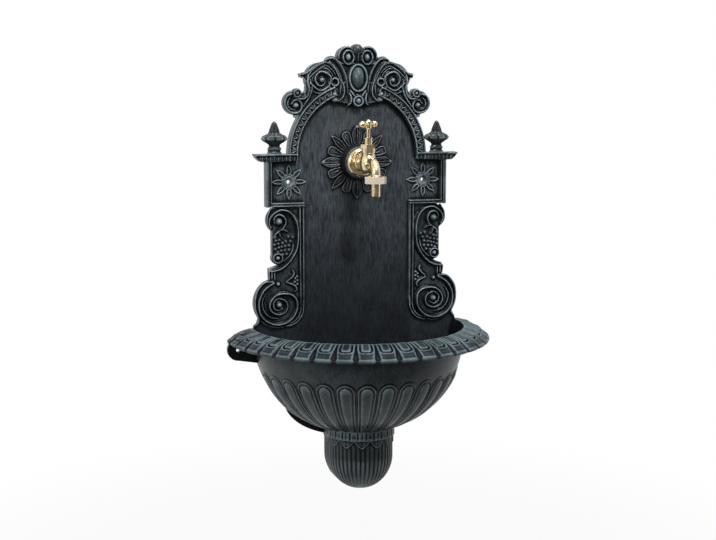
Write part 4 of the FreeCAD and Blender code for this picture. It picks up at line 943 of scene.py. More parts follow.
@dataclass
class Crest:
    """Carved crest over the arch, with its cabochon and pearl; the right half, which is repeated left.

    Attributes:
        level: Level of its ground.
        apron_level: Level of the apron over the field.
        grounds: Round parts of the ground.
        spur: Corners of the small ground that points outwards.
        web: Corners of the ground between the round parts.
        apron: Corners of the apron.
        outer_leaf: Leaf along the shoulder.
        inner_whorl: Scroll beside the ribbon.
        ribbon: Folded ribbon beside the cabochon.
        top_lobes: Lobes beside the middle one.
        curl: Lower curl with its eye.
        beads: Eyes and buds.
        hook: Small hook that joins scroll and ribbon.
        lobe: Middle lobe, which the next two raise from its ground.
        ridge: Its ridge.
        lobe_ground: Its round ground.
        stone: Cabochon.
        stone_ring: Ring that holds it.
        neck: Corners of the ground under the ring.
        pearl: Pearl at the foot.
        pearl_ring: Its ring.
        pearl_ground: Its round ground.
        tail: Points of the leaf beside the pearl.
        tail_rib: Points of the rib over that leaf.
    """

    level: float = 12.6
    apron_level: float = 15.6
    grounds: tuple[Disc, ...] = ((18.3, 196.0, 15.2), (42.0, 186.0, 10.7), (61.5, 161.5, 24.8),
                                 (102.0, 124.0, 19.3), (98.5, 138.5, 7.8))
    spur: tuple[Point, ...] = ((76.0, 173.5), (94.5, 169.6), (93.4, 163.0), (78.0, 159.0))
    web: tuple[Point, ...] = ((0, 138), (0, 204), (18.3, 196), (42, 187), (55.5, 176), (62, 162), (84.4, 150),
                              (84.9, 143), (90.4, 136), (84, 118), (78, 118), (62, 136), (40, 148))
    apron: tuple[Point, ...] = ((0, 121), (14, 122), (28, 124.5), (40, 126), (47, 134), (44, 150), (0, 160))
    outer_leaf: tuple[Stroke, ...] = (
        Stroke(((79, 155), (80.5, 163), (73, 172), (60.5, 181), (50, 183), (40, 175), (35, 167)), 7, 6,
               Section.CHANNEL, 0.5, 0.4),
        Stroke(((93, 167), (84, 170), (77, 175), (68, 181.5), (57, 186.5), (49, 188)), 4.5, 5, start=0.5),
        Stroke(((73, 157), (74, 163), (68, 171), (60, 176), (51, 177), (44, 171), (40, 164)), 2.4, 4.5),
        Stroke(((84, 152), (86, 158), (89, 163)), 2.2, 3.5),
        Stroke(((53, 190), (45, 193), (37, 191), (31, 186)), 4.5, 5, start=0.5),
        Stroke(((55, 186), (47, 186), (41, 181), (36, 174)), 3, 4.5),
    )
    inner_whorl: tuple[Stroke, ...] = (
        Stroke(((79, 155), (63, 143), (50, 148), (46, 155), (45, 164), (52, 170), (61, 172), (68, 167),
                (70, 160), (66, 152), (60, 150), (55, 153), (54, 159), (58, 163)), 4.6, 7, start=0.6,
               fullest=0.35),
        Stroke(((80, 148), (68, 139), (56, 141), (47, 147)), 2.4, 4),
        Stroke(((46, 163), (47, 170), (54, 175)), 2.2, 4),
        Stroke(((63, 168), (67, 163), (67, 157)), 2.0, 4),
    )
    ribbon: tuple[Stroke, ...] = (
        Stroke(((45, 191), (36, 184), (28.5, 172), (23.5, 158), (21, 142), (17, 125)), 14, 6, Section.CHANNEL,
               0.75, 0.5, 0.3),
        Stroke(((40, 184), (32.5, 174), (27, 160), (24, 144)), 2.2, 5.5),
        Stroke(((28, 160), (24, 150), (23, 140), (26, 132), (33, 126.5), (40, 129)), 3.4, 8, start=0.6),
        Stroke(((33, 161), (29, 151), (28.8, 141), (31, 134)), 2.2, 6),
        Stroke(((49, 157), (46, 146), (44, 136), (38, 129)), 3.2, 7),
    )
    top_lobes: tuple[Stroke, ...] = (
        ring(15.5, 194.5, 8.6, 3.6, 6, 1.25),
        Stroke(((31.5, 192), (30.5, 201), (25, 208), (17.5, 210.5), (11, 208.5), (8.5, 203)), 4.4, 6,
               start=0.5),
        Stroke(((34, 190), (29, 186), (23, 184)), 3, 5),
        Stroke(((8, 203), (5, 196), (4.5, 188)), 3, 5),
    )
    curl: tuple[Stroke, ...] = (
        Stroke(((81, 168), (82, 156), (80, 146), (82, 136), (89, 130), (98, 130.5), (105, 134)), 5, 7,
               start=0.6),
        Stroke(((107, 137.5), (115, 134.5), (119.3, 126), (118, 117), (111, 109.5), (101, 108), (94, 112),
                (92, 120), (96, 127), (103.5, 127.5), (108.5, 121.5)), 5, 7, start=0.7, fullest=0.3),
        Stroke(((110, 131), (114, 126), (113.5, 118), (108, 113.5), (101, 113.5)), 2.2, 4.5),
        Stroke(((77, 160), (75, 148), (78, 136), (86, 123), (95, 111)), 3.2, 6),
        Stroke(((86, 141), (88, 134), (95, 134)), 2.4, 5),
        ring(98.5, 138.5, 5.6, 3.4, 5.5),
    )
    beads: tuple[Bead, ...] = (
        Bead(58.5, 159, 4.2, 6.5), Bead(38.5, 137, 4.2, 8), Bead(36.5, 128, 5.5, 6, 0.7),
        Bead(15.5, 194.5, 4.6, 7, 1.3), Bead(101, 119.5, 4.6, 6.5), Bead(98.5, 138.5, 3, 6),
        Bead(102, 103, 3.6, 3.5, 0.8))
    hook: Stroke = ring(38, 156, 5.8, 3.8, 6.5)
    lobe: Bead = Bead(0, 206, 8.6, 6.5)
    ridge: Stroke = Stroke(((0, 214), (0, 201), (0, 187)), 12, 8.5, Section.KEEL, 0.4, 0.35)
    lobe_ground: Disc = (0, 206.2, 9.1)
    stone: Bead = Bead(0, 162.8, 10.4, 13.2, 1.72)
    stone_ring: Stroke = ring(0, 162.4, 14.2, 5.6, 8, 1.45)
    neck: tuple[Point, ...] = ((-9, 134), (9, 134), (8, 142), (-8, 142))
    pearl: Bead = Bead(0, 126.4, 4.4, 5)
    pearl_ring: Stroke = ring(0, 126.4, 7.4, 3.2, 3.4)
    pearl_ground: Disc = (0, 126.4, 9.2)
    tail: tuple[Point, ...] = ((14, 139), (12, 131), (13, 124), (17, 119.5))
    tail_rib: tuple[Point, ...] = ((3, 131), (7.5, 136), (13, 143))

    def build(self) -> None:
        """Carve and place the crest."""
        mould = Mould(self.level, paired=True)
        mould.discs(self.grounds, self.level)
        mould.slab(self.spur, self.level)
        mould.slab(self.web, self.level)
        mould.slab(self.apron, self.apron_level)
        sides = (self.outer_leaf, self.inner_whorl, self.ribbon, self.top_lobes, self.curl, (self.hook,))
        for motif in sides:
            mould.strokes(motif, self.level - 0.6)
        mould.beads(self.beads)
        self._carve_middle(mould)
        place("crest", mould.cast(0.85), PLATE_CARVED, "plate_iron")
        setting = Mould(self.level)
        setting.beads([self.stone])
        place("cabochon", setting.cast(0.6), CABOCHON_IRON, "plate_iron")

    def _carve_middle(self, mould: Mould) -> None:
        """Carve the central lobe, the cabochon's ring and the pearl below.

        Args:
            mould: Mould of the crest, which is no longer paired after this.
        """
        mould.paired = False
        mould.discs([self.lobe_ground], self.level + 2)
        mould.beads([self.lobe], self.level + 2)
        mould.strokes([self.ridge], self.level)
        mould.strokes([self.stone_ring], self.level - 0.4)
        mould.slab(self.neck, self.level + 4)
        mould.discs([self.pearl_ground], self.level + 5.4)
        mould.strokes([self.pearl_ring], self.level + 5)
        mould.beads([self.pearl], self.level + 5.4)
        for side in (-1, 1):
            tail, rib = ([(x * side, z) for x, z in points] for points in (self.tail, self.tail_rib))
            mould.strokes([Stroke(tail, 3.6, 6)], self.apron_level - 0.6)
            mould.strokes([Stroke(rib, 3, 4)], self.apron_level)


@dataclass
class ArchBand:
    """Band of pointed leaves round the arch, between its rolls.

    Attributes:
        centre: Middle of the arch.
        outer: Outer radius of the band.
        inner: Its inner radius.
        level: Level of its ground.
        first: Angle in degrees at which it starts, 0 to the right.
        last: Angle at which the last leaf ends, behind the crest.
        overlap: Angle by which the band runs on there.
        pitch: Angle from leaf to leaf.
        rolls: Each roll's radius, width and height.
        tip: Distance of a leaf's tip from the inner radius.
        waist: Distance of its waist.
        foot: Distance of its foot.
        spread: Angle between midrib and foot, as a share of the pitch.
    """

    centre: Point = (0.0, 42.0)
    outer: float = 114.2
    inner: float = 98.8
    level: float = 16.6
    first: float = -4.5
    last: float = 66.0
    overlap: float = 4.0
    pitch: float = 5.9
    rolls: tuple[tuple[float, float, float], ...] = ((112.3, 3.8, 4.4), (99.9, 2.4, 1.8), (110.8, 1.6, 1.2))
    tip: float = 2.2
    waist: float = 7.5
    foot: float = 11.5
    spread: float = 0.42

    def build(self) -> None:
        """Carve and place both halves of the band."""
        mould = Mould(self.level)
        reach = self.last + self.overlap
        outer = arc(self.centre, self.outer, self.first, reach, 40)
        mould.slab(outer + arc(self.centre, self.inner, reach, self.first, 40), self.level)
        mould.strokes([Stroke(arc(self.centre, radius, self.first, reach, 24), width, height, start=1, end=1)
                       for radius, width, height in self.rolls])
        mould.strokes(self._leaves(), self.level - 0.3)
        place_pair("arch_band", mould.cast(0.8), PLATE_CARVED, "plate_iron")

    def _leaves(self) -> list[Stroke]:
        """Pointed leaves, each a pair of flanks that meet at the inner roll, with a midrib.

        Returns:
            The strokes of all leaves.
        """
        leaves = []
        for i in range(round((self.last - self.first) / self.pitch)):
            middle = self.first + (i + 0.5) * self.pitch
            for side in (-1, 0, 1):
                lean = side * self.pitch * self.spread
                leaf = [polar(self.centre, self.inner + reach, middle + lean * share)
                        for reach, share in ((self.foot, 1.0), (self.waist, 0.75), (self.tip, 0.0))]
                leaves.append(Stroke(leaf, 2.7 if side else 2.0, 3.0 if side else 2.2, start=0.8, end=0.5,
                                     fullest=0.3))
        return leaves


@dataclass
class Cornice:
    """Shelf over each block, with its row of leaves.

    Attributes:
        inner: Distance of its inner end from the middle.
        tip: Distance of its pointed outer end.
        top: Height of its top.
        level: Level of its lower part.
        under: Corners of that part's lower edge, from the inner end to the tip.
        shelf: Height of the upper part, which stands further out.
        shelf_out: How much further.
        edge: Height of the rounded upper edge.
        margins: Lengths at the inner end and in all that hold no leaf.
        pitch: Distance from leaf to leaf.
        leaf: Heights of a leaf's foot, middle and top.
        drop: How much lower the leaves beyond the block's corner start.
        corner: Distance of that corner from the middle.
        dart: Heights of the dart between two leaves.
    """

    inner: float = 99.5
    tip: float = 168.8
    top: float = 44.4
    level: float = 18.4
    under: tuple[Point, ...] = ((99.5, 33.8), (151.0, 31.8), (160.0, 32.8), (165.8, 38.0), (168.2, 44.4))
    shelf: float = 3.4
    shelf_out: float = 3.0
    edge: float = 42.9
    margins: tuple[float, float] = (2.5, 8.0)
    pitch: float = 6.4
    leaf: tuple[float, float, float] = (33.4, 37.5, 41.2)
    drop: float = 1.2
    corner: float = 148.0
    dart: tuple[float, float] = (34.5, 40.0)

    def build(self) -> None:
        """Carve and place both shelves."""
        mould = Mould(self.level)
        mould.slab((*self.under, (self.inner, self.top)), self.level)
        mould.slab(((self.inner, self.top - self.shelf), (self.tip - self.shelf / 2, self.top - self.shelf),
                    (self.tip, self.top), (self.inner, self.top)), self.level + self.shelf_out)
        edge = Stroke(((self.inner, self.edge), (self.tip - 1.5, self.edge)), 3.2, 1.6, start=1, end=0.8)
        mould.strokes([edge], self.level + self.shelf_out - 0.4)
        foot, middle, top = self.leaf
        for i in range(int((self.tip - self.inner - self.margins[1]) / self.pitch)):
            x = self.inner + self.margins[0] + (i + 0.5) * self.pitch
            start = foot - self.drop if x > self.corner else foot
            between = x + self.pitch / 2
            mould.strokes([
                Stroke(((x, start), (x, middle), (x, top)), 5.6, 3.4, Section.KEEL, 0.5, 0.7, 0.6),
                Stroke(((between, self.dart[0]), (between, self.dart[1])), 1.6, 2.0),
            ], self.level - 0.3)
        place_pair("cornice", mould.cast(0.75), PLATE_CARVED, "plate_iron")


@dataclass
class Pilaster:
    """Block at each side, with its mouldings and the star round the wall screw.

    Attributes:
        frame_level: Level of the moulding along side and foot.
        frame_outline: Its corners.
        flank_level: Level of the block's outer flank.
        flank_outline: Its corners.
        rolls: Rolls on the moulding.
        screw_x: Distance of the wall screw from the middle.
        petals: Petals of the star.
        petal_edge: Radius and turn from the petal's middle, in degrees, along half of its edge.
        midrib: Radii along its midrib.
        hole: Radius that stays open for the screw.
        pearl_radius: Radius of the circle of pearls round it.
    """

    frame_level: float = 14.0
    frame_outline: tuple[Point, ...] = ((140.8, 33), (150.2, 33), (150.2, -39.2), (87.8, -39.2),
                                        (87.8, -32.2), (140.8, -32.2))
    flank_level: float = 17.0
    flank_outline: tuple[Point, ...] = ((145.4, 33), (150.2, 33), (150.2, -39.2), (145.4, -39.2))
    rolls: tuple[Stroke, ...] = (
        Stroke(((141.9, 33.5), (141.9, -33.0)), 2.4, 3.4, start=1, end=1),
        Stroke(((148.2, 33.5), (148.2, -39.0)), 3.8, 4.0, start=1, end=1),
        Stroke(((88, -33.5), (142.4, -33.5)), 2.4, 3.0, start=1, end=1),
        Stroke(((88, -37.6), (149, -37.6)), 2.8, 3.4, start=1, end=1),
    )
    screw_x: float = 112.0
    petals: int = 8
    petal_edge: tuple[Point, ...] = ((10.5, 5.0), (15.5, 11.0), (20.5, 7.5), (27.6, 0.0))
    midrib: tuple[float, ...] = (10.0, 16.0, 24.0)
    hole: float = 3.4
    pearl_radius: float = 10.8

    def build(self) -> None:
        """Carve and place both blocks."""
        mould = Mould(FIELD_OUT)
        mould.slab(self.frame_outline, self.frame_level)
        mould.slab(self.flank_outline, self.flank_level)
        mould.strokes(self.rolls, self.frame_level - 0.4)
        place_pair("block_moulding", mould.cast(0.8), PLATE_CARVED, "plate_iron")
        self._carve_star()

    def _carve_star(self) -> None:
        """Carve the star: pointed petals and a ring of pearls round the open screw hole."""
        mould = Mould(FIELD_OUT)
        screw = (self.screw_x, 0.0)
        pitch = 360 / self.petals
        for i in range(self.petals):
            turn = pitch * i
            for side in (-1, 1):
                edge = [polar(screw, r, turn + side * lean) for r, lean in self.petal_edge]
                mould.strokes([Stroke(edge, 2.6, 3.8, start=0.8, end=0.6)])
            mould.strokes([Stroke([polar(screw, r, turn) for r in self.midrib], 4.0, 1.6)])
            mould.beads([Bead(*polar(screw, self.pearl_radius, turn + pitch / 2), 2.7, 3.6)])
        boss = [(self.hole, BURIED_OUT), (11.0, BURIED_OUT), (11.0, FIELD_OUT + 1.8), (8.6, FIELD_OUT + 3.4),
                (6.4, FIELD_OUT + 3.4), (self.hole, FIELD_OUT + 0.8)]
        mould.turned(boss, screw)
        place_pair("star", mould.cast(0.6, 2), STAR_IRON, "plate_iron")


@dataclass
class SideScroll:
    """Carving below each block: upper whorl with grapes, ball, leaf and volute inside a border.

    Attributes:
        level: Level of its ground.
        grounds: Round parts of the ground.
        webs: Corners of each ground between them.
        strip: Corners of the ground under the border.
        border_level: Level that the border stands on.
        border: Border between field and carving.
        upper: Whorl, stalk and leaves over the grapes.
        grapes: Middle of each grape.
        grape: Radius and height of a grape.
        lower: Leaf and steps between ball and volute.
        volute: Big volute with its hood.
        buds: Eyes, ball and berries.
        ball_ring: Ring round the ball.
    """

    level: float = 10.4
    grounds: tuple[Disc, ...] = (
        (127.0, -60.0, 22.3), (131.5, -120.0, 10.3), (130.6, -192.0, 40.3))
    webs: tuple[tuple[Point, ...], ...] = (
        ((94, -38.5), (127, -38.5), (127, -60), (140.8, -60), (140.8, -120), (94, -120)),
        ((94, -119), (131.5, -119), (131.8, -132), (146.3, -137), (145.8, -154), (130.6, -158), (94, -158)),
        ((94, -150), (130, -150), (130, -192), (94, -192)),
    )
    strip: tuple[Point, ...] = ((88, -36), (96.2, -36), (96.2, -196), (88, -196))
    border_level: float = 9.6
    border: Stroke = Stroke(((92, -33), (92, -120), (92, -196), (94, -211), (101, -221.5), (110, -226.8),
                             (119, -228.2)), 7.6, 5.0, Section.CHANNEL, 1, 0.6, 0.1)
    upper: tuple[Stroke, ...] = (
        Stroke(((142, -72), (145.5, -65), (144, -56.5), (137, -48.5), (126, -43.5), (113, -47), (104, -57),
                (99.8, -70), (98.8, -85), (100, -100), (103, -110), (110, -122), (120, -132.5), (130, -138),
                (143, -141)), 3.6, 8.5, start=0.7, end=0.8),
        Stroke(((106, -95), (108, -108), (114, -118), (124, -126.5)), 2.2, 5),
        Stroke(((103, -52), (97.5, -64), (96.8, -82)), 2.0, 3),
        Stroke(((141.5, -40), (144, -44.5), (147.4, -51), (148.6, -60), (147, -68), (142, -75)), 3.0, 6,
               start=0.6),
        Stroke(((136, -66), (137.4, -57), (130.5, -51), (122, -54), (118.6, -62.5), (121.6, -71),
                (127.5, -76.5)), 3.4, 8, start=0.3),
        Stroke(((129, -76), (122, -75), (114, -79)), 6, 6, Section.KEEL, 0.5, 0.3),
        Stroke(((129, -77), (128, -84), (123, -90)), 5.4, 6, Section.KEEL, 0.5, 0.3),
        Stroke(((128, -76), (133, -80), (137.5, -85)), 3.6, 6),
    )
    grapes: tuple[Point, ...] = (
        (114.5, -86), (107.5, -87.5), (119, -93.5), (111, -93.5), (113.5, -100), (120, -100.7), (113.5, -107),
        (120.5, -107.5), (117.5, -113.5), (124, -96), (125.5, -102), (129.5, -91), (134.5, -92), (136, -86.5),
        (131, -97), (136.5, -98.5), (135.5, -105), (130, -103), (126.5, -108), (131.5, -110.5), (124, -114.5))
    grape: tuple[float, float] = (3.3, 6.0)
    lower: tuple[Stroke, ...] = (
        Stroke(((118, -158), (110, -152), (105.5, -145), (108, -138.5)), 3.2, 6),
        Stroke(((118, -159), (105, -164), (101, -171), (104, -175)), 3.2, 6),
        Stroke(((141.6, -153), (141.8, -143)), 2.6, 6.5, start=0.8, end=0.8),
        Stroke(((137, -155), (137.2, -143)), 2.2, 5.5, start=0.8, end=0.8),
        Stroke(((138, -141.5), (145.2, -139.5), (146, -147), (145, -154)), 2.4, 6.5, start=0.7, end=0.7),
    )
    volute: tuple[Stroke, ...] = (
        Stroke(((138, -159), (150, -166), (158, -175), (163, -188), (163, -200), (160, -210), (152, -219),
                (140, -225), (130, -226), (118, -223), (108, -215), (102, -204), (101, -193), (104, -184),
                (112, -178), (122, -176.5), (133, -178), (141, -184), (145.5, -192), (145, -200), (141, -206),
                (134, -209.5), (127, -209.5), (120, -206), (116.5, -199), (118, -191), (122, -187),
                (129, -184.5)), 3.6, 8.5, start=0.8, end=0.5),
        Stroke(((138, -157.5), (152, -157.5), (160.5, -164), (166.5, -173), (169, -183), (169.4, -192),
                (168.4, -202), (165.6, -210), (162.5, -216.5)), 3.6, 6, start=0.6, end=0.7),
        Stroke(whorl(130.6, -192, (26.0, 26.5, 26.5, 26.0, 25.0), 40, -32), 2.0, 3.5),
        Stroke(whorl(130.0, -195, (12.0, 10.5, 9.5, 8.8, 8.2), 100, -60), 2.6, 6),
        Stroke(((162, -216), (164.5, -222), (168.6, -227)), 3.4, 4),
    )
    buds: tuple[Bead, ...] = (
        Bead(129.5, -62, 5.8, 9.5), Bead(131.5, -120, 3.8, 7.5), Bead(131, -161.5, 3.2, 5),
        Bead(130, -195, 4.8, 9), Bead(100, -150.5, 2.0, 3.4), Bead(103.3, -153.5, 2.0, 3.4),
        Bead(99.5, -156.8, 2.0, 3.4), Bead(104, -159, 2.0, 3.4), Bead(99.5, -162.8, 2.0, 3.4))
    ball_ring: Stroke = ring(131.5, -120, 7.2, 3.0, 6.5)

    def build(self) -> None:
        """Carve and place both side scrolls."""
        mould = Mould(self.level)
        mould.discs(self.grounds, self.level)
        for outline in (*self.webs, self.strip):
            mould.slab(outline, self.level)
        mould.strokes([self.border], self.border_level)
        for motif in (self.upper, self.lower, self.volute, (self.ball_ring,)):
            mould.strokes(motif, self.level - 0.5)
        mould.beads(self.buds)
        place_pair("side_scroll", mould.cast(0.85), PLATE_CARVED, "plate_iron")
        bunch = Mould(self.level)
        bunch.beads([Bead(x, z, *self.grape) for x, z in self.grapes])
        place_pair("grapes", bunch.cast(0.6, 2), GRAPE_IRON, "plate_iron")


@dataclass
class Finials:
    """Lobed vase on each cornice, in half relief.

    Attributes:
        x: Distance of its axis from the middle.
        out: Distance of its axis from the wall.
        foot: Height of its foot.
        flat: Its depth over its width.
        lobes: Lobes round its belly.
        lobe_depth: Depth of the grooves between them.
        belly: Heights over the foot between which the lobes run.
        profile: Points (radius, height over the foot).
    """

    x: float = 135.0
    out: float = 9.6
    foot: float = 43.6
    flat: float = 0.42
    lobes: int = 8
    lobe_depth: float = 2.6
    belly: tuple[float, float] = (14.5, 47.0)
    profile: tuple[Point, ...] = ((0, 0), (11.2, 0), (11.4, 3), (9.6, 5), (11.3, 8.4), (9, 12), (9.4, 15),
                                  (15, 18.6), (21, 22.6), (21.4, 25.6), (18.6, 29), (12.2, 31.6), (9.4, 34),
                                  (8.4, 38), (6.2, 43), (3.8, 48.4), (0, 52.0))

    def build(self) -> None:
        """Turn, lobe and place both finials."""
        bm = bmesh.new()
        verts = [bm.verts.new((max(p.x, 0.0), 0, p.y)) for p in flowing(self.profile, 0.8)]
        edges = [bm.edges.new(pair) for pair in zip(verts, verts[1:])]
        bmesh.ops.spin(bm, geom=verts + edges, cent=(0, 0, 0), axis=(0, 0, 1), angle=2 * math.pi, steps=96,
                       use_merge=True)
        bmesh.ops.remove_doubles(bm, verts=bm.verts, dist=0.01)
        bmesh.ops.recalc_face_normals(bm, faces=bm.faces)
        for vert in bm.verts:
            belt = ease((vert.co.z - self.belly[0]) / 6) * ease((self.belly[1] - vert.co.z) / 12)
            turn = math.atan2(vert.co.y, vert.co.x)
            groove = 1 - abs(math.sin(turn * self.lobes / 2)) ** 0.6
            radius = math.hypot(vert.co.x, vert.co.y) or 1.0
            share = 1 - self.lobe_depth * belt * groove / max(radius, 4.0)
            vert.co.x, vert.co.y = vert.co.x * share, vert.co.y * share
        bmesh.ops.scale(bm, vec=(1, self.flat, 1), verts=bm.verts)
        bmesh.ops.translate(bm, vec=(self.x, -self.out, self.foot), verts=bm.verts)
        mesh = bpy.data.meshes.new("finial")
        bm.to_mesh(mesh)
        bm.free()
        place_pair("finial", mesh, FINIAL_IRON, "plate_iron")


@dataclass
class TapRosette:
    """Leaf rosette with its domed hub behind the tap.

    Attributes:
        centre: Place of the tap's axis.
        level: Level of the plate's field under the leaves.
        ground_radius: Radius of the disc that joins the leaves.
        ground_rise: Its height.
        hub: Outline (radius, out) of the hub.
        upright: Turn in degrees from one broad leaf to the next.
        neighbour: Turn from a broad leaf to the blunt leaf on either side.
    """

    centre: Point = (0.0, 30.0)
    level: float = 8.0
    ground_radius: float = 33.0
    ground_rise: float = 1.6
    hub: tuple[Point, ...] = ((11, 4), (27.4, 4), (28.3, 12), (28.0, 20), (27.0, 26), (25.6, 30.6),
                              (24.8, 31.9), (11, 31.9))
    upright: float = 90.0
    neighbour: float = 23.5

    def build(self) -> None:
        """Carve and place the rosette."""
        mould = Mould(self.level)
        mould.turned(self.hub, self.centre)
        mould.discs([(*self.centre, self.ground_radius)], self.level + self.ground_rise)
        for i in range(4):
            turn = self.upright * i
            self._two_lobed(mould, turn)
            for side in (-1, 1):
                self._blunt(mould, turn + side * self.neighbour)
            self._pointed(mould, turn + self.upright / 2)
        place("rosette", mould.cast(0.7), ROSETTE_IRON, "plate_iron", "tap_rosette")

    def _at(self, radius: float, turn: float, aside: float = 0.0) -> Point:
        """Find a point of a leaf.

        Args:
            radius: Distance from the tap's axis along the leaf's middle line.
            turn: Turn of that line in degrees.
            aside: Distance from it.

        Returns:
            The point on the plate.
        """
        t = math.radians(turn)
        return (self.centre[0] + radius * math.cos(t) - aside * math.sin(t),
                self.centre[1] + radius * math.sin(t) + aside * math.cos(t))

    def _edge(self, mould: Mould, turn: float, half: Sequence[Point], width: float, height: float) -> None:
        """Carve the raised edge round a leaf.

        Args:
            mould: Mould of the rosette.
            turn: Turn of the leaf in degrees.
            half: Half of its outline as (radius, distance aside), from its root to its tip.
            width: Width of the edge.
            height: Its height.
        """
        right = [self._at(r, turn, aside) for r, aside in half]
        left = [self._at(r, turn, -aside) for r, aside in reversed(half)]
        mould.strokes([Stroke(right + left[1:], width, height, start=1.0, end=1.0)])

    def _two_lobed(self, mould: Mould, turn: float) -> None:
        """Carve a broad leaf of two lobes with a midrib and a drooping tip.

        Args:
            mould: Mould of the rosette.
            turn: Turn of the leaf in degrees.
        """
        for side in (-1, 1):
            lobe = [self._at(r, turn, side * a) for r, a in ((28, 2.0), (37, 4.0), (46, 4.4), (53, 1.8))]
            mould.strokes([Stroke(lobe, 6.6, 5.0, start=0.6, end=0.3)])
        self._edge(mould, turn, ((28, 3.4), (35, 6.2), (44, 7.4), (51, 5.0), (58, 0)), 1.7, 5.4)
        mould.strokes([Stroke([self._at(r, turn) for r in (27, 40, 52, 57)], 1.8, 6.6, end=0.5)])
        mould.beads([Bead(*self._at(55, turn), 3.0, 6.4)])

    def _blunt(self, mould: Mould, turn: float) -> None:
        """Carve a shorter leaf with a hollow face and a blunt end.

        Args:
            mould: Mould of the rosette.
            turn: Turn of the leaf in degrees.
        """
        leaf = [self._at(r, turn) for r in (28, 36, 44, 49)]
        mould.strokes([Stroke(leaf, 11.5, 3.2, Section.FLAT, 0.5, 0.85, 0.7)])
        self._edge(mould, turn, ((28, 2.8), (36, 4.8), (44, 6.2), (49.5, 4.8), (51, 0)), 1.8, 5.2)
        mould.strokes([Stroke([self._at(r, turn) for r in (29, 38, 45)], 1.5, 4.6)])

    def _pointed(self, mould: Mould, turn: float) -> None:
        """Carve a long pointed leaf with a raised edge and a midrib.

        Args:
            mould: Mould of the rosette.
            turn: Turn of the leaf in degrees.
        """
        leaf = [self._at(r, turn) for r in (28, 38, 48, 55)]
        mould.strokes([Stroke(leaf, 8.4, 3.0, Section.FLAT, 0.5, 0.25, 0.5)])
        self._edge(mould, turn, ((28, 2.2), (36, 4.2), (45, 4.4), (58, 0)), 1.8, 4.8)
        mould.strokes([Stroke([self._at(r, turn) for r in (28, 40, 50)], 1.3, 4.4)])


@dataclass
class HalfRound:
    """Half-round casting with straight sides back to the wall, turned from one closed outline.

    Attributes:
        axis_y: Place of the upright axis in front of the wall.
        turns: Steps of the half turn.
        sides: Steps of each straight side.
    """

    axis_y: float
    turns: int
    sides: int

    def turn(self, carved: Sequence[Point], plain: Sequence[Point],
             relief: Callable[[float, float, float], float]) -> bpy.types.Mesh:
        """Turn the outline and raise its carved side.

        Args:
            carved: Points (radius, z) of the side that is carved.
            plain: Points that close the outline from the end of the carved side back to its start.
            relief: Height of the carving at (distance along the outline, turn in radians, radius).

        Returns:
            The closed mesh in millimetres.
        """
        bm = bmesh.new()
        along, carving = bm.verts.layers.float.new("along"), bm.verts.layers.float.new("carved")
        verts, run = [], 0.0
        for i, (radius, z) in enumerate(carved):
            run += math.dist((radius, z), carved[i - 1]) if i else 0.0
            vert = bm.verts.new((radius, 0.0, z))
            vert[along], vert[carving] = run + 1.0, 1.0
            verts.append(vert)
        verts += [bm.verts.new((radius, 0.0, z)) for radius, z in plain]
        edges = [bm.edges.new(pair) for pair in zip(verts, verts[1:] + verts[:1])]
        step = self.axis_y / self.sides
        out = bmesh.ops.spin(bm, geom=verts + edges, cent=(0, 0, 0), axis=(0, 0, 1), dvec=(0, step, 0),
                             angle=0.0, steps=self.sides)["geom_last"]
        bend = bmesh.ops.spin(bm, geom=out, cent=(0, self.axis_y, 0), axis=(0, 0, 1), angle=-math.pi,
                              steps=self.turns)["geom_last"]
        bmesh.ops.spin(bm, geom=bend, cent=(0, 0, 0), axis=(0, 0, 1), dvec=(0, -step, 0), angle=0.0,
                       steps=self.sides)
        bmesh.ops.remove_doubles(bm, verts=bm.verts, dist=0.01)
        bmesh.ops.holes_fill(bm, edges=[edge for edge in bm.edges if edge.is_boundary], sides=0)
        bmesh.ops.recalc_face_normals(bm, faces=bm.faces)
        bm.normal_update()
        moves = []
        for vert in bm.verts:
            if vert[along] > 0.0:
                depth = vert.co.y - self.axis_y
                radius = math.hypot(vert.co.x, min(depth, 0.0))
                turn = math.atan2(-min(depth, 0.0), vert.co.x) if radius else 0.0
                aside = max(depth, 0.0) / max(radius, 1.0) * (-1 if vert.co.x > 0 else 1)
                height = relief(vert[along] - 1.0, turn + aside, radius)
                level = Vector((vert.normal.x, vert.normal.y if depth < -0.01 else 0.0, vert.normal.z))
                moves.append((vert, level * height))
        for vert, move in moves:
            vert.co += move
        bm.verts.layers.float.remove(along)
        mesh = bpy.data.meshes.new("half_round")
        bm.to_mesh(mesh)
        bm.free()
        return mesh


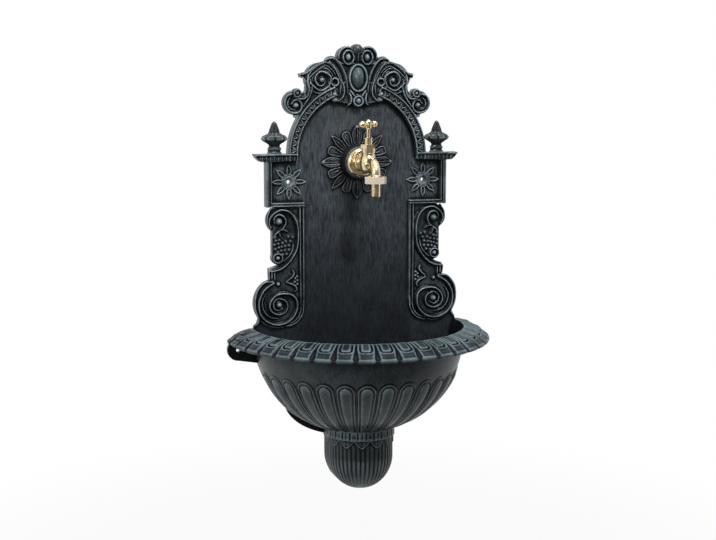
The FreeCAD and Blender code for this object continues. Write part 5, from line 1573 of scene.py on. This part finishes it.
@dataclass
class Basin:
    """Half-round basin: gadrooned bowl, leaf-block rim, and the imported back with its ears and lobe.

    Attributes:
        axis_y: Place of the upright axis in front of the wall.
        back_out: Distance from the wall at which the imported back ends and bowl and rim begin.
        wall: Thickness of the bowl.
        upper_curve: Three points (radius, height) of the bowl's upper arc.
        lower_curve: The same of its lower arc.
        floor: Points on the axis that close the bowl.
        gadroons: Tongues round the bowl.
        gadroon_top: Distance of their tops below the bowl's upper edge.
        crown: Distance from there to the middle of a tongue's round head.
        rib: Height and half width of the rib that frames a tongue.
        rib_place: Place of the rib as a share of half the pitch.
        tongue: Height of the tongue.
        inset: Distance from the rib to the tongue's edge.
        groove: Depth and half width of the groove at that edge.
        between: Depth of the hollow between two ribs.
        blocks: Leaf blocks round the rim.
        rim_top: Three points of the rim's upper side.
        rim_lip: Points round its edge.
        rim_under: Three points of its underside.
        rim_inside: Three points of its inner side.
        slit: Half width of the slit between two blocks at the inner and at the outer edge.
        slit_depth: Its depth.
        pad_end: Distance of a pad's outer end from the rim's inner edge.
        pad_width: Width of the pad as a share of the block's.
        pad_corner: Radius of its corners.
        pad_groove: Depth and half width of the groove round it.
        pad_frame: Height and half width of the rib round that groove.
        folded: Turn in radians from the wall up to which the rim has folds instead of blocks.
    """

    axis_y: float = -16.0
    back_out: float = 13.9
    wall: float = 6.5
    upper_curve: tuple[Point, ...] = ((169.8, -258.0), (150.0, -321.0), (112.0, -366.0))
    lower_curve: tuple[Point, ...] = ((112.0, -366.0), (86.0, -382.5), (58.0, -394.0))
    floor: tuple[Point, ...] = ((0.0, -394.0), (0.0, -388.0))
    gadroons: int = 15
    gadroon_top: float = 42.7
    crown: float = 12.4
    rib: tuple[float, float] = (1.9, 1.35)
    rib_place: float = 0.77
    tongue: float = 3.4
    inset: float = 2.3
    groove: tuple[float, float] = (1.2, 0.95)
    between: float = 1.7
    blocks: int = 20
    rim_top: tuple[Point, ...] = ((171.0, -232.0), (194.6, -238.0), (211.2, -250.0))
    rim_lip: tuple[Point, ...] = ((211.2, -251.6), (210.8, -253.2), (209.6, -254.2), (208.4, -254.5))
    rim_under: tuple[Point, ...] = ((206.5, -254.9), (188.0, -257.4), (166.0, -262.0))
    rim_inside: tuple[Point, ...] = ((160.6, -280.0), (162.7, -262.0), (170.2, -234.0))
    slit: tuple[float, float] = (1.8, 4.0)
    slit_depth: float = 3.0
    pad_end: float = 27.0
    pad_width: float = 0.52
    pad_corner: float = 5.0
    pad_groove: tuple[float, float] = (2.6, 1.45)
    pad_frame: tuple[float, float] = (0.9, 1.3)
    folded: float = 0.20

    def build(self) -> None:
        """Carve and place bowl, rim and back."""
        self._bowl()
        self._rim()
        place("basin_back", behind("basin", self.back_out), BASIN_BACK_IRON, "basin_iron", "basin",
              smooth=False)

    def _bowl(self) -> None:
        """Turn the bowl with its gadroons and its plain inside."""
        carved = arc_through(*self.upper_curve, 92)[:-1] + arc_through(*self.lower_curve, 42)
        inner = [(r - self.wall * 0.86, z + self.wall * 0.5) for r, z in reversed(carved[::5])]
        inner = [(r, max(z, self.floor[1][1])) for r, z in inner]
        half = HalfRound(self.axis_y, self.gadroons * 26, 8)
        mesh = half.turn(carved, list(self.floor) + inner, self._gadroon)
        place("basin_bowl", mesh, BOWL_IRON, "basin_iron")

    def _gadroon(self, along: float, turn: float, radius: float) -> float:
        """Height of the gadroons: a convex tongue in a groove, framed by a thin rib.

        Args:
            along: Distance down the bowl from its upper edge.
            turn: Turn round the axis in radians.
            radius: Radius there.

        Returns:
            Height over the plain bowl.
        """
        skin = 0.25
        pitch = math.pi / self.gadroons
        if not 0 <= turn <= math.pi:
            return skin
        local = ((turn / pitch) % 1.0 - 0.5) * pitch
        aside = abs(local * radius)
        line = pitch * radius / 2 * self.rib_place
        crown = self.gadroon_top + self.crown
        reach = aside - line if along >= crown else math.hypot(aside, crown - along) - line
        rib = self.rib[0] * hump(reach / self.rib[1])
        room = max(line - self.inset, 1.0)
        tongue = self.tongue * math.sqrt(1 - (1 - clamp((-reach - self.inset) / room)) ** 2)
        groove = -self.groove[0] * hump((reach + self.inset) / self.groove[1])
        between = -self.between * ease((reach - 1.4) / 1.6) * ease((along - self.gadroon_top - 5) / 22)
        return skin + rib + tongue + groove + between

    def _rim(self) -> None:
        """Turn the rim with its leaf blocks."""
        carved = arc_through(*self.rim_top, 40) + list(self.rim_lip)
        plain = arc_through(*self.rim_under, 16) + arc_through(*self.rim_inside, 18)
        half = HalfRound(self.axis_y, self.blocks * 28, 12)
        mesh = half.turn(carved, plain, self._block)
        place("basin_rim", mesh, RIM_IRON, "basin_iron")

    def _block(self, along: float, turn: float, radius: float) -> float:
        """Height of the rim's blocks, each a pad in a groove and a frame, and of the folds at the wall.

        Args:
            along: Distance out from the rim's inner edge.
            turn: Turn round the axis in radians.
            radius: Radius there.

        Returns:
            Height over the plain rim.
        """
        pitch = math.pi / self.blocks
        local = ((turn / pitch) % 1.0 - 0.5) * pitch
        aside, half = abs(local * radius), pitch * radius / 2
        inner, outer = self.slit
        slit_half = inner + (outer - inner) * ease((along - 18) / 26)
        slit = -self.slit_depth * (1 - ease((half - aside - slit_half * 0.4) / (slit_half * 1.2)))
        side = aside - (half * self.pad_width - self.pad_corner)
        end = along - (self.pad_end - self.pad_corner)
        reach = math.hypot(max(side, 0), max(end, 0)) + min(max(side, end), 0) - self.pad_corner
        pad = 0.5 * ease(-reach / 3.0)
        groove = -self.pad_groove[0] * hump((reach - 1.2) / self.pad_groove[1])
        frame_rib = self.pad_frame[0] * hump((reach - 3.7) / self.pad_frame[1])
        lip = 0.8 * ease((along - 40) / 4) * ease((50 - along) / 4)
        carved = pad + groove + frame_rib + lip + slit
        from_wall = min(turn, math.pi - turn)
        near_wall = ease((self.folded - from_wall) / 0.12)
        folds = self._folds(along, from_wall * radius) * ease((50.0 - along) / 6)
        fade = ease((along - 1.0) / 5)
        return carved * (1 - near_wall) * max(fade, 0.25) + folds * near_wall * fade

    def _folds(self, along: float, swing: float) -> float:
        """Height of the rim's folds beside the wall.

        Args:
            along: Distance out from the rim's inner edge.
            swing: Distance from the wall.

        Returns:
            Height over the plain rim.
        """
        waves = 0.9 * math.sin(0.22 * swing + 0.12 * along)
        waves += 0.6 * math.sin(0.13 * swing - 0.22 * along + 1.0)
        return waves - 1.4 * hump((along - 24 + 0.35 * swing) / 2.2) - hump((along - 38 + 0.1 * swing) / 1.6)


@dataclass
class Pendant:
    """Fluted cover under the bowl, with its crenellated collar and pointed leaves.

    Attributes:
        axis_y: Place of the upright axis in front of the wall.
        collar: Radius of the collar.
        collar_height: Its height.
        radius: Radius of the fluted body.
        top: Height of its top.
        spring: Height at which its round bottom begins.
        bottom: Height of its lowest point.
        wall: Its thickness.
        notch_pitch: Distance from notch to notch on the collar; a leaf takes two.
        notch_depth: Depth of a notch.
        leaf: Height of the leaves over the body.
        leaf_drop: How far their shoulders and then their tips reach below the collar.
        flute_pitch: Distance from flute to flute.
        flute: Height from the bottom of a flute to its ridge.
        sink: How far the flutes lie below the plain body.
    """

    axis_y: float = -27.0
    collar: float = 56.0
    collar_height: float = 13.0
    radius: float = 53.0
    top: float = -394.0
    spring: float = -444.0
    bottom: float = -500.0
    wall: float = 5.0
    notch_pitch: float = 12.6
    notch_depth: float = 1.9
    leaf: float = 1.7
    leaf_drop: tuple[float, float] = (5.0, 12.5)
    flute_pitch: float = 7.35
    flute: float = 1.5
    sink: float = 1.25

    def build(self) -> None:
        """Carve and place the pendant."""
        shoulder = self.top - self.collar_height
        carved = [(self.collar, self.top - 1.1 * i) for i in range(12)]
        carved += [(self.collar - 1.2, shoulder - 1.2), (self.radius, shoulder - 3.0)]
        carved += [(self.radius, shoulder - 3.0 - 1.4 * i) for i in range(1, 25)]
        drop = self.spring - self.bottom
        turns = [math.radians(90 * i / 44) for i in range(1, 44)]
        carved += [(self.radius * math.cos(t), self.spring - drop * math.sin(t)) for t in turns]
        inner_r, inner_z = self.radius - self.wall, drop - self.wall
        plain = [(0.0, self.bottom), (0.0, self.bottom + self.wall)]
        plain += [(inner_r * math.cos(t), self.spring - inner_z * math.sin(t)) for t in reversed(turns[::6])]
        plain += [(inner_r, self.spring), (inner_r, self.top - self.wall), (0.0, self.top - self.wall),
                  (0.0, self.top)]
        mesh = HalfRound(self.axis_y, 190, 30).turn(carved, plain, self._flutes)
        place("pendant_shell", mesh, BOWL_IRON, "basin_iron", "pendant")

    def _flutes(self, along: float, turn: float, radius: float) -> float:
        """Height of collar notches, pointed leaves and flutes.

        Args:
            along: Distance down from the pendant's top.
            turn: Turn round the axis in radians.
            radius: Radius there.

        Returns:
            Height over the plain pendant.
        """
        run = (turn - math.pi / 2) * self.radius
        notch = abs(math.cos(math.pi * run / self.notch_pitch))
        collar_zone = ease((along - 1.5) / 1.5) * ease((self.collar_height + 1.5 - along) / 2.5)
        notches = -self.notch_depth * ease((0.42 - notch) / 0.24) * collar_zone
        across = abs(((run / self.notch_pitch / 2) % 1.0) - 0.5) * 2
        leaf_end = self.collar_height + self.leaf_drop[0] + self.leaf_drop[1] * (1 - across ** 1.5)
        leaf = self.leaf * ease((leaf_end - along) / 1.6) * ease((along - self.collar_height + 1.0) / 1.5)
        leaf -= 0.9 * hump(across * self.notch_pitch / 0.9) * ease((leaf_end - 2 - along) / 3)
        leaf -= 0.8 * hump((leaf_end - 4.2 - along) / 1.0)
        under_leaf = 1 - 0.75 * ease((leaf_end + 1 - along) / 2)
        flute_zone = ease((along - self.collar_height - 7.0) / 7.0) * under_leaf
        wave = abs(math.sin(math.pi * run / self.flute_pitch))
        flutes = (self.flute * wave ** 0.7 - self.sink) * flute_zone * ease((radius - 6.0) / 22.0)
        return notches + leaf + flutes


@dataclass
class PackedPieces:
    """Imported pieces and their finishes: those that show, and those that carved pieces stand for.

    Attributes:
        finishes: Nodes by finish.
    """

    finishes: dict[Finish, tuple[str, ...]] = field(default_factory=lambda: {
        BRASS: ("tap_body", "tap_flange", "tap_bonnet", "gland_nut", "handle_bar", "handle_cap_nut",
                "spindle", "jumper_valve", "tap_back_nut", "hose_tail"),
        SATIN_BRASS: ("union_nut",),
        ZINC: ("basin_bolts", "basin_nuts"),
        STAINLESS: ("waste_body", "waste_grate", "grate_screw", "tap_back_washer"),
        RUBBER: ("basin_washers", "gland_packing", "hose_washer", "waste_seal", "slip_seal", "valve_washer"),
        PLASTIC: ("waste_elbow", "slip_nut", "waste_lock_nut"),
        PLATE_FIELD: ("back_plate",),
        BASIN_BACK_IRON: ("basin",),
        BOWL_IRON: ("pendant",),
        ROSETTE_IRON: ("tap_rosette",),
    })

    def build(self) -> None:
        """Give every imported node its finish."""
        for finish, nodes in self.finishes.items():
            for node in nodes:
                self._dress(node, finish)

    def _dress(self, node: str, finish: Finish) -> None:
        """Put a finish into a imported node's material slots.

        Args:
            node: Name of the node.
            finish: Finish that it gets.
        """
        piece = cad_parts[node]
        if not piece.material_slots:
            piece.data.materials.append(None)
        for slot in piece.material_slots:
            slot.material = finish.material()
        LOG.info("%s: %s", node, finish.name)


@dataclass
class Studio:
    """Pale floor, white surroundings, soft lamps and the camera, all in metres.

    Attributes:
        camera_place: Place of the camera.
        camera_yaw: How far it looks to the right, in degrees.
        camera_pitch: How far it looks down, in degrees.
        lens: Its focal length in millimetres.
        sensor: Width of its sensor in millimetres.
        floor_z: Height of the floor.
        floor_size: Half the length of its side.
        floor_grey: Brightness of its paint, which keeps the shadow.
        shadow_fade: Distances from the fountain between which the shadow fades out.
        shadow: Share of white light that the floor gives off by itself where the shadow is fullest.
        ambient: Brightness of the surroundings as a light.
        backdrop: How bright metal shows what is behind and beside it.
        overhead: How bright it shows what is above.
        mirrored_floor: How bright it shows the floor in front.
        aim: Point that the lamps face.
        lamps: Name, place, width and power in watts of each lamp.
    """

    camera_place: tuple[float, float, float] = (-0.6109, -1.9981, 0.135)
    camera_yaw: float = 17.13
    camera_pitch: float = 7.645
    lens: float = 65.36
    sensor: float = 36.0
    floor_z: float = -0.66
    floor_size: float = 12.0
    floor_grey: float = 0.12
    shadow_fade: tuple[float, float] = (0.75, 1.2)
    shadow: float = 0.95
    ambient: float = 0.18
    backdrop: float = 0.78
    overhead: float = 0.42
    mirrored_floor: float = 0.03
    aim: tuple[float, float, float] = (0.0, -0.08, -0.14)
    lamps: tuple[tuple[str, tuple[float, float, float], float, float], ...] = (
        ("key_lamp", (0.22, -1.55, 1.7), 0.5, 39.0), ("fill_lamp", (-1.7, -1.4, 0.6), 0.9, 13.0),
        ("top_lamp", (0.0, -0.5, 1.8), 0.8, 14.0))

    def build(self) -> None:
        """Set up floor, world, lamps, camera and view."""
        self._floor()
        self._world()
        for name, spot, size, power in self.lamps:
            self._lamp(name, spot, size, power)
        camera = bpy.data.objects.new("camera", bpy.data.cameras.new("camera"))
        camera.data.lens, camera.data.sensor_width = self.lens, self.sensor
        camera.location = self.camera_place
        camera.rotation_euler = (math.radians(90 - self.camera_pitch), 0, math.radians(-self.camera_yaw))
        bpy.context.scene.collection.objects.link(camera)
        bpy.context.scene.camera = camera
        bpy.context.scene.view_settings.view_transform = "Standard"

    def _floor(self) -> None:
        """Lay the floor, which looks white to the camera but keeps the shadow."""
        bm = bmesh.new()
        bmesh.ops.create_grid(bm, x_segments=1, y_segments=1, size=self.floor_size)
        bmesh.ops.translate(bm, vec=(0, 0, self.floor_z), verts=bm.verts)
        mesh = bpy.data.meshes.new("floor")
        bm.to_mesh(mesh)
        bm.free()
        floor = bpy.data.objects.new("floor", mesh)
        bpy.context.scene.collection.objects.link(floor)
        made = bpy.data.materials.new("floor_paint")
        made.use_nodes = True
        made.node_tree.nodes.clear()
        wiring = Wiring(made.node_tree)
        paint = wiring.add("BsdfDiffuse", {"Color": (self.floor_grey, self.floor_grey, self.floor_grey, 1)})
        glow = wiring.add("Emission", {"Color": (1, 1, 1, 1), "Strength": 1.0})
        place = wiring.add("TexCoord").outputs["Object"]
        far = wiring.add("VectorMath", {0: place}, operation="LENGTH").outputs["Value"]
        fade = wiring.spread(far, *self.shadow_fade, self.shadow, 1.0)
        mirrored = wiring.math("MAXIMUM", self._behind(wiring), self.mirrored_floor)
        share = wiring.math("MULTIPLY", self._seen(wiring, mirrored), fade)
        mixed = wiring.add("MixShader", {0: share, 1: paint.outputs[0], 2: glow.outputs[0]})
        wiring.add("OutputMaterial", {"Surface": mixed.outputs[0]})
        mesh.materials.append(made)

    def _behind(self, wiring: Wiring) -> bpy.types.NodeSocket:
        """How bright the surroundings are by direction: dark in front, brighter to the sides and behind."""
        towards = wiring.add("SeparateXYZ", {0: wiring.add("NewGeometry").outputs["Incoming"]})
        return wiring.spread(towards.outputs["Y"], 0.7, 0.1, 0.0, self.backdrop)

    def _seen(self, wiring: Wiring, mirrored: object) -> bpy.types.NodeSocket:
        """How white the surroundings look to each kind of ray.

        Args:
            wiring: Wiring of the world or floor.
            mirrored: Brightness that metal shows, as a value or socket.

        Returns:
            One for rays from the camera, that brightness for what metal shows, else zero.
        """
        path = wiring.add("LightPath")
        shown = wiring.math("MAXIMUM", path.outputs["Is Glossy Ray"], path.outputs["Is Transmission Ray"])
        seen = wiring.math("MULTIPLY", shown, mirrored)
        return wiring.math("MAXIMUM", path.outputs["Is Camera Ray"], seen)

    def _world(self) -> None:
        """Wire surroundings that look white, light softly, and show dim in metal from the front."""
        world = bpy.data.worlds.new("surroundings")
        world.use_nodes = True
        world.node_tree.nodes.clear()
        wiring = Wiring(world.node_tree)
        towards = wiring.add("SeparateXYZ", {0: wiring.add("NewGeometry").outputs["Incoming"]})
        above_it = wiring.spread(towards.outputs["Z"], -0.1, -0.65, 0.0, self.overhead)
        seen = self._seen(wiring, wiring.math("MAXIMUM", self._behind(wiring), above_it))
        strength = wiring.add("MapRange", {"Value": seen, "To Min": self.ambient, "To Max": 1.0})
        light = wiring.add("Background", {"Color": (1, 1, 1, 1), "Strength": strength.outputs[0]})
        wiring.add("OutputWorld", {"Surface": light.outputs[0]})
        bpy.context.scene.world = world

    def _lamp(self, name: str, spot: tuple[float, float, float], size: float, power: float) -> None:
        """Hang one soft lamp that faces the middle of the fountain.

        Args:
            name: Name of the lamp.
            spot: Its place.
            size: Its width.
            power: Its power in watts.
        """
        lamp = bpy.data.lights.new(name, "AREA")
        lamp.shape, lamp.size, lamp.energy = "DISK", size, power
        holder = bpy.data.objects.new(name, lamp)
        holder.location = spot
        towards = Vector(self.aim) - Vector(spot)
        holder.rotation_euler = towards.to_track_quat("-Z", "Y").to_euler()
        bpy.context.scene.collection.objects.link(holder)


def main() -> None:
    logging.basicConfig(level=logging.INFO, format="%(name)s: %(message)s")
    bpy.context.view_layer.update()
    for part in (Studio(), PlateCore(), Crest(), ArchBand(), Cornice(), Pilaster(), SideScroll(), Finials(),
                 TapRosette(), Basin(), Pendant(), PackedPieces()):
        part.build()


if __name__ == "__main__":
    main()
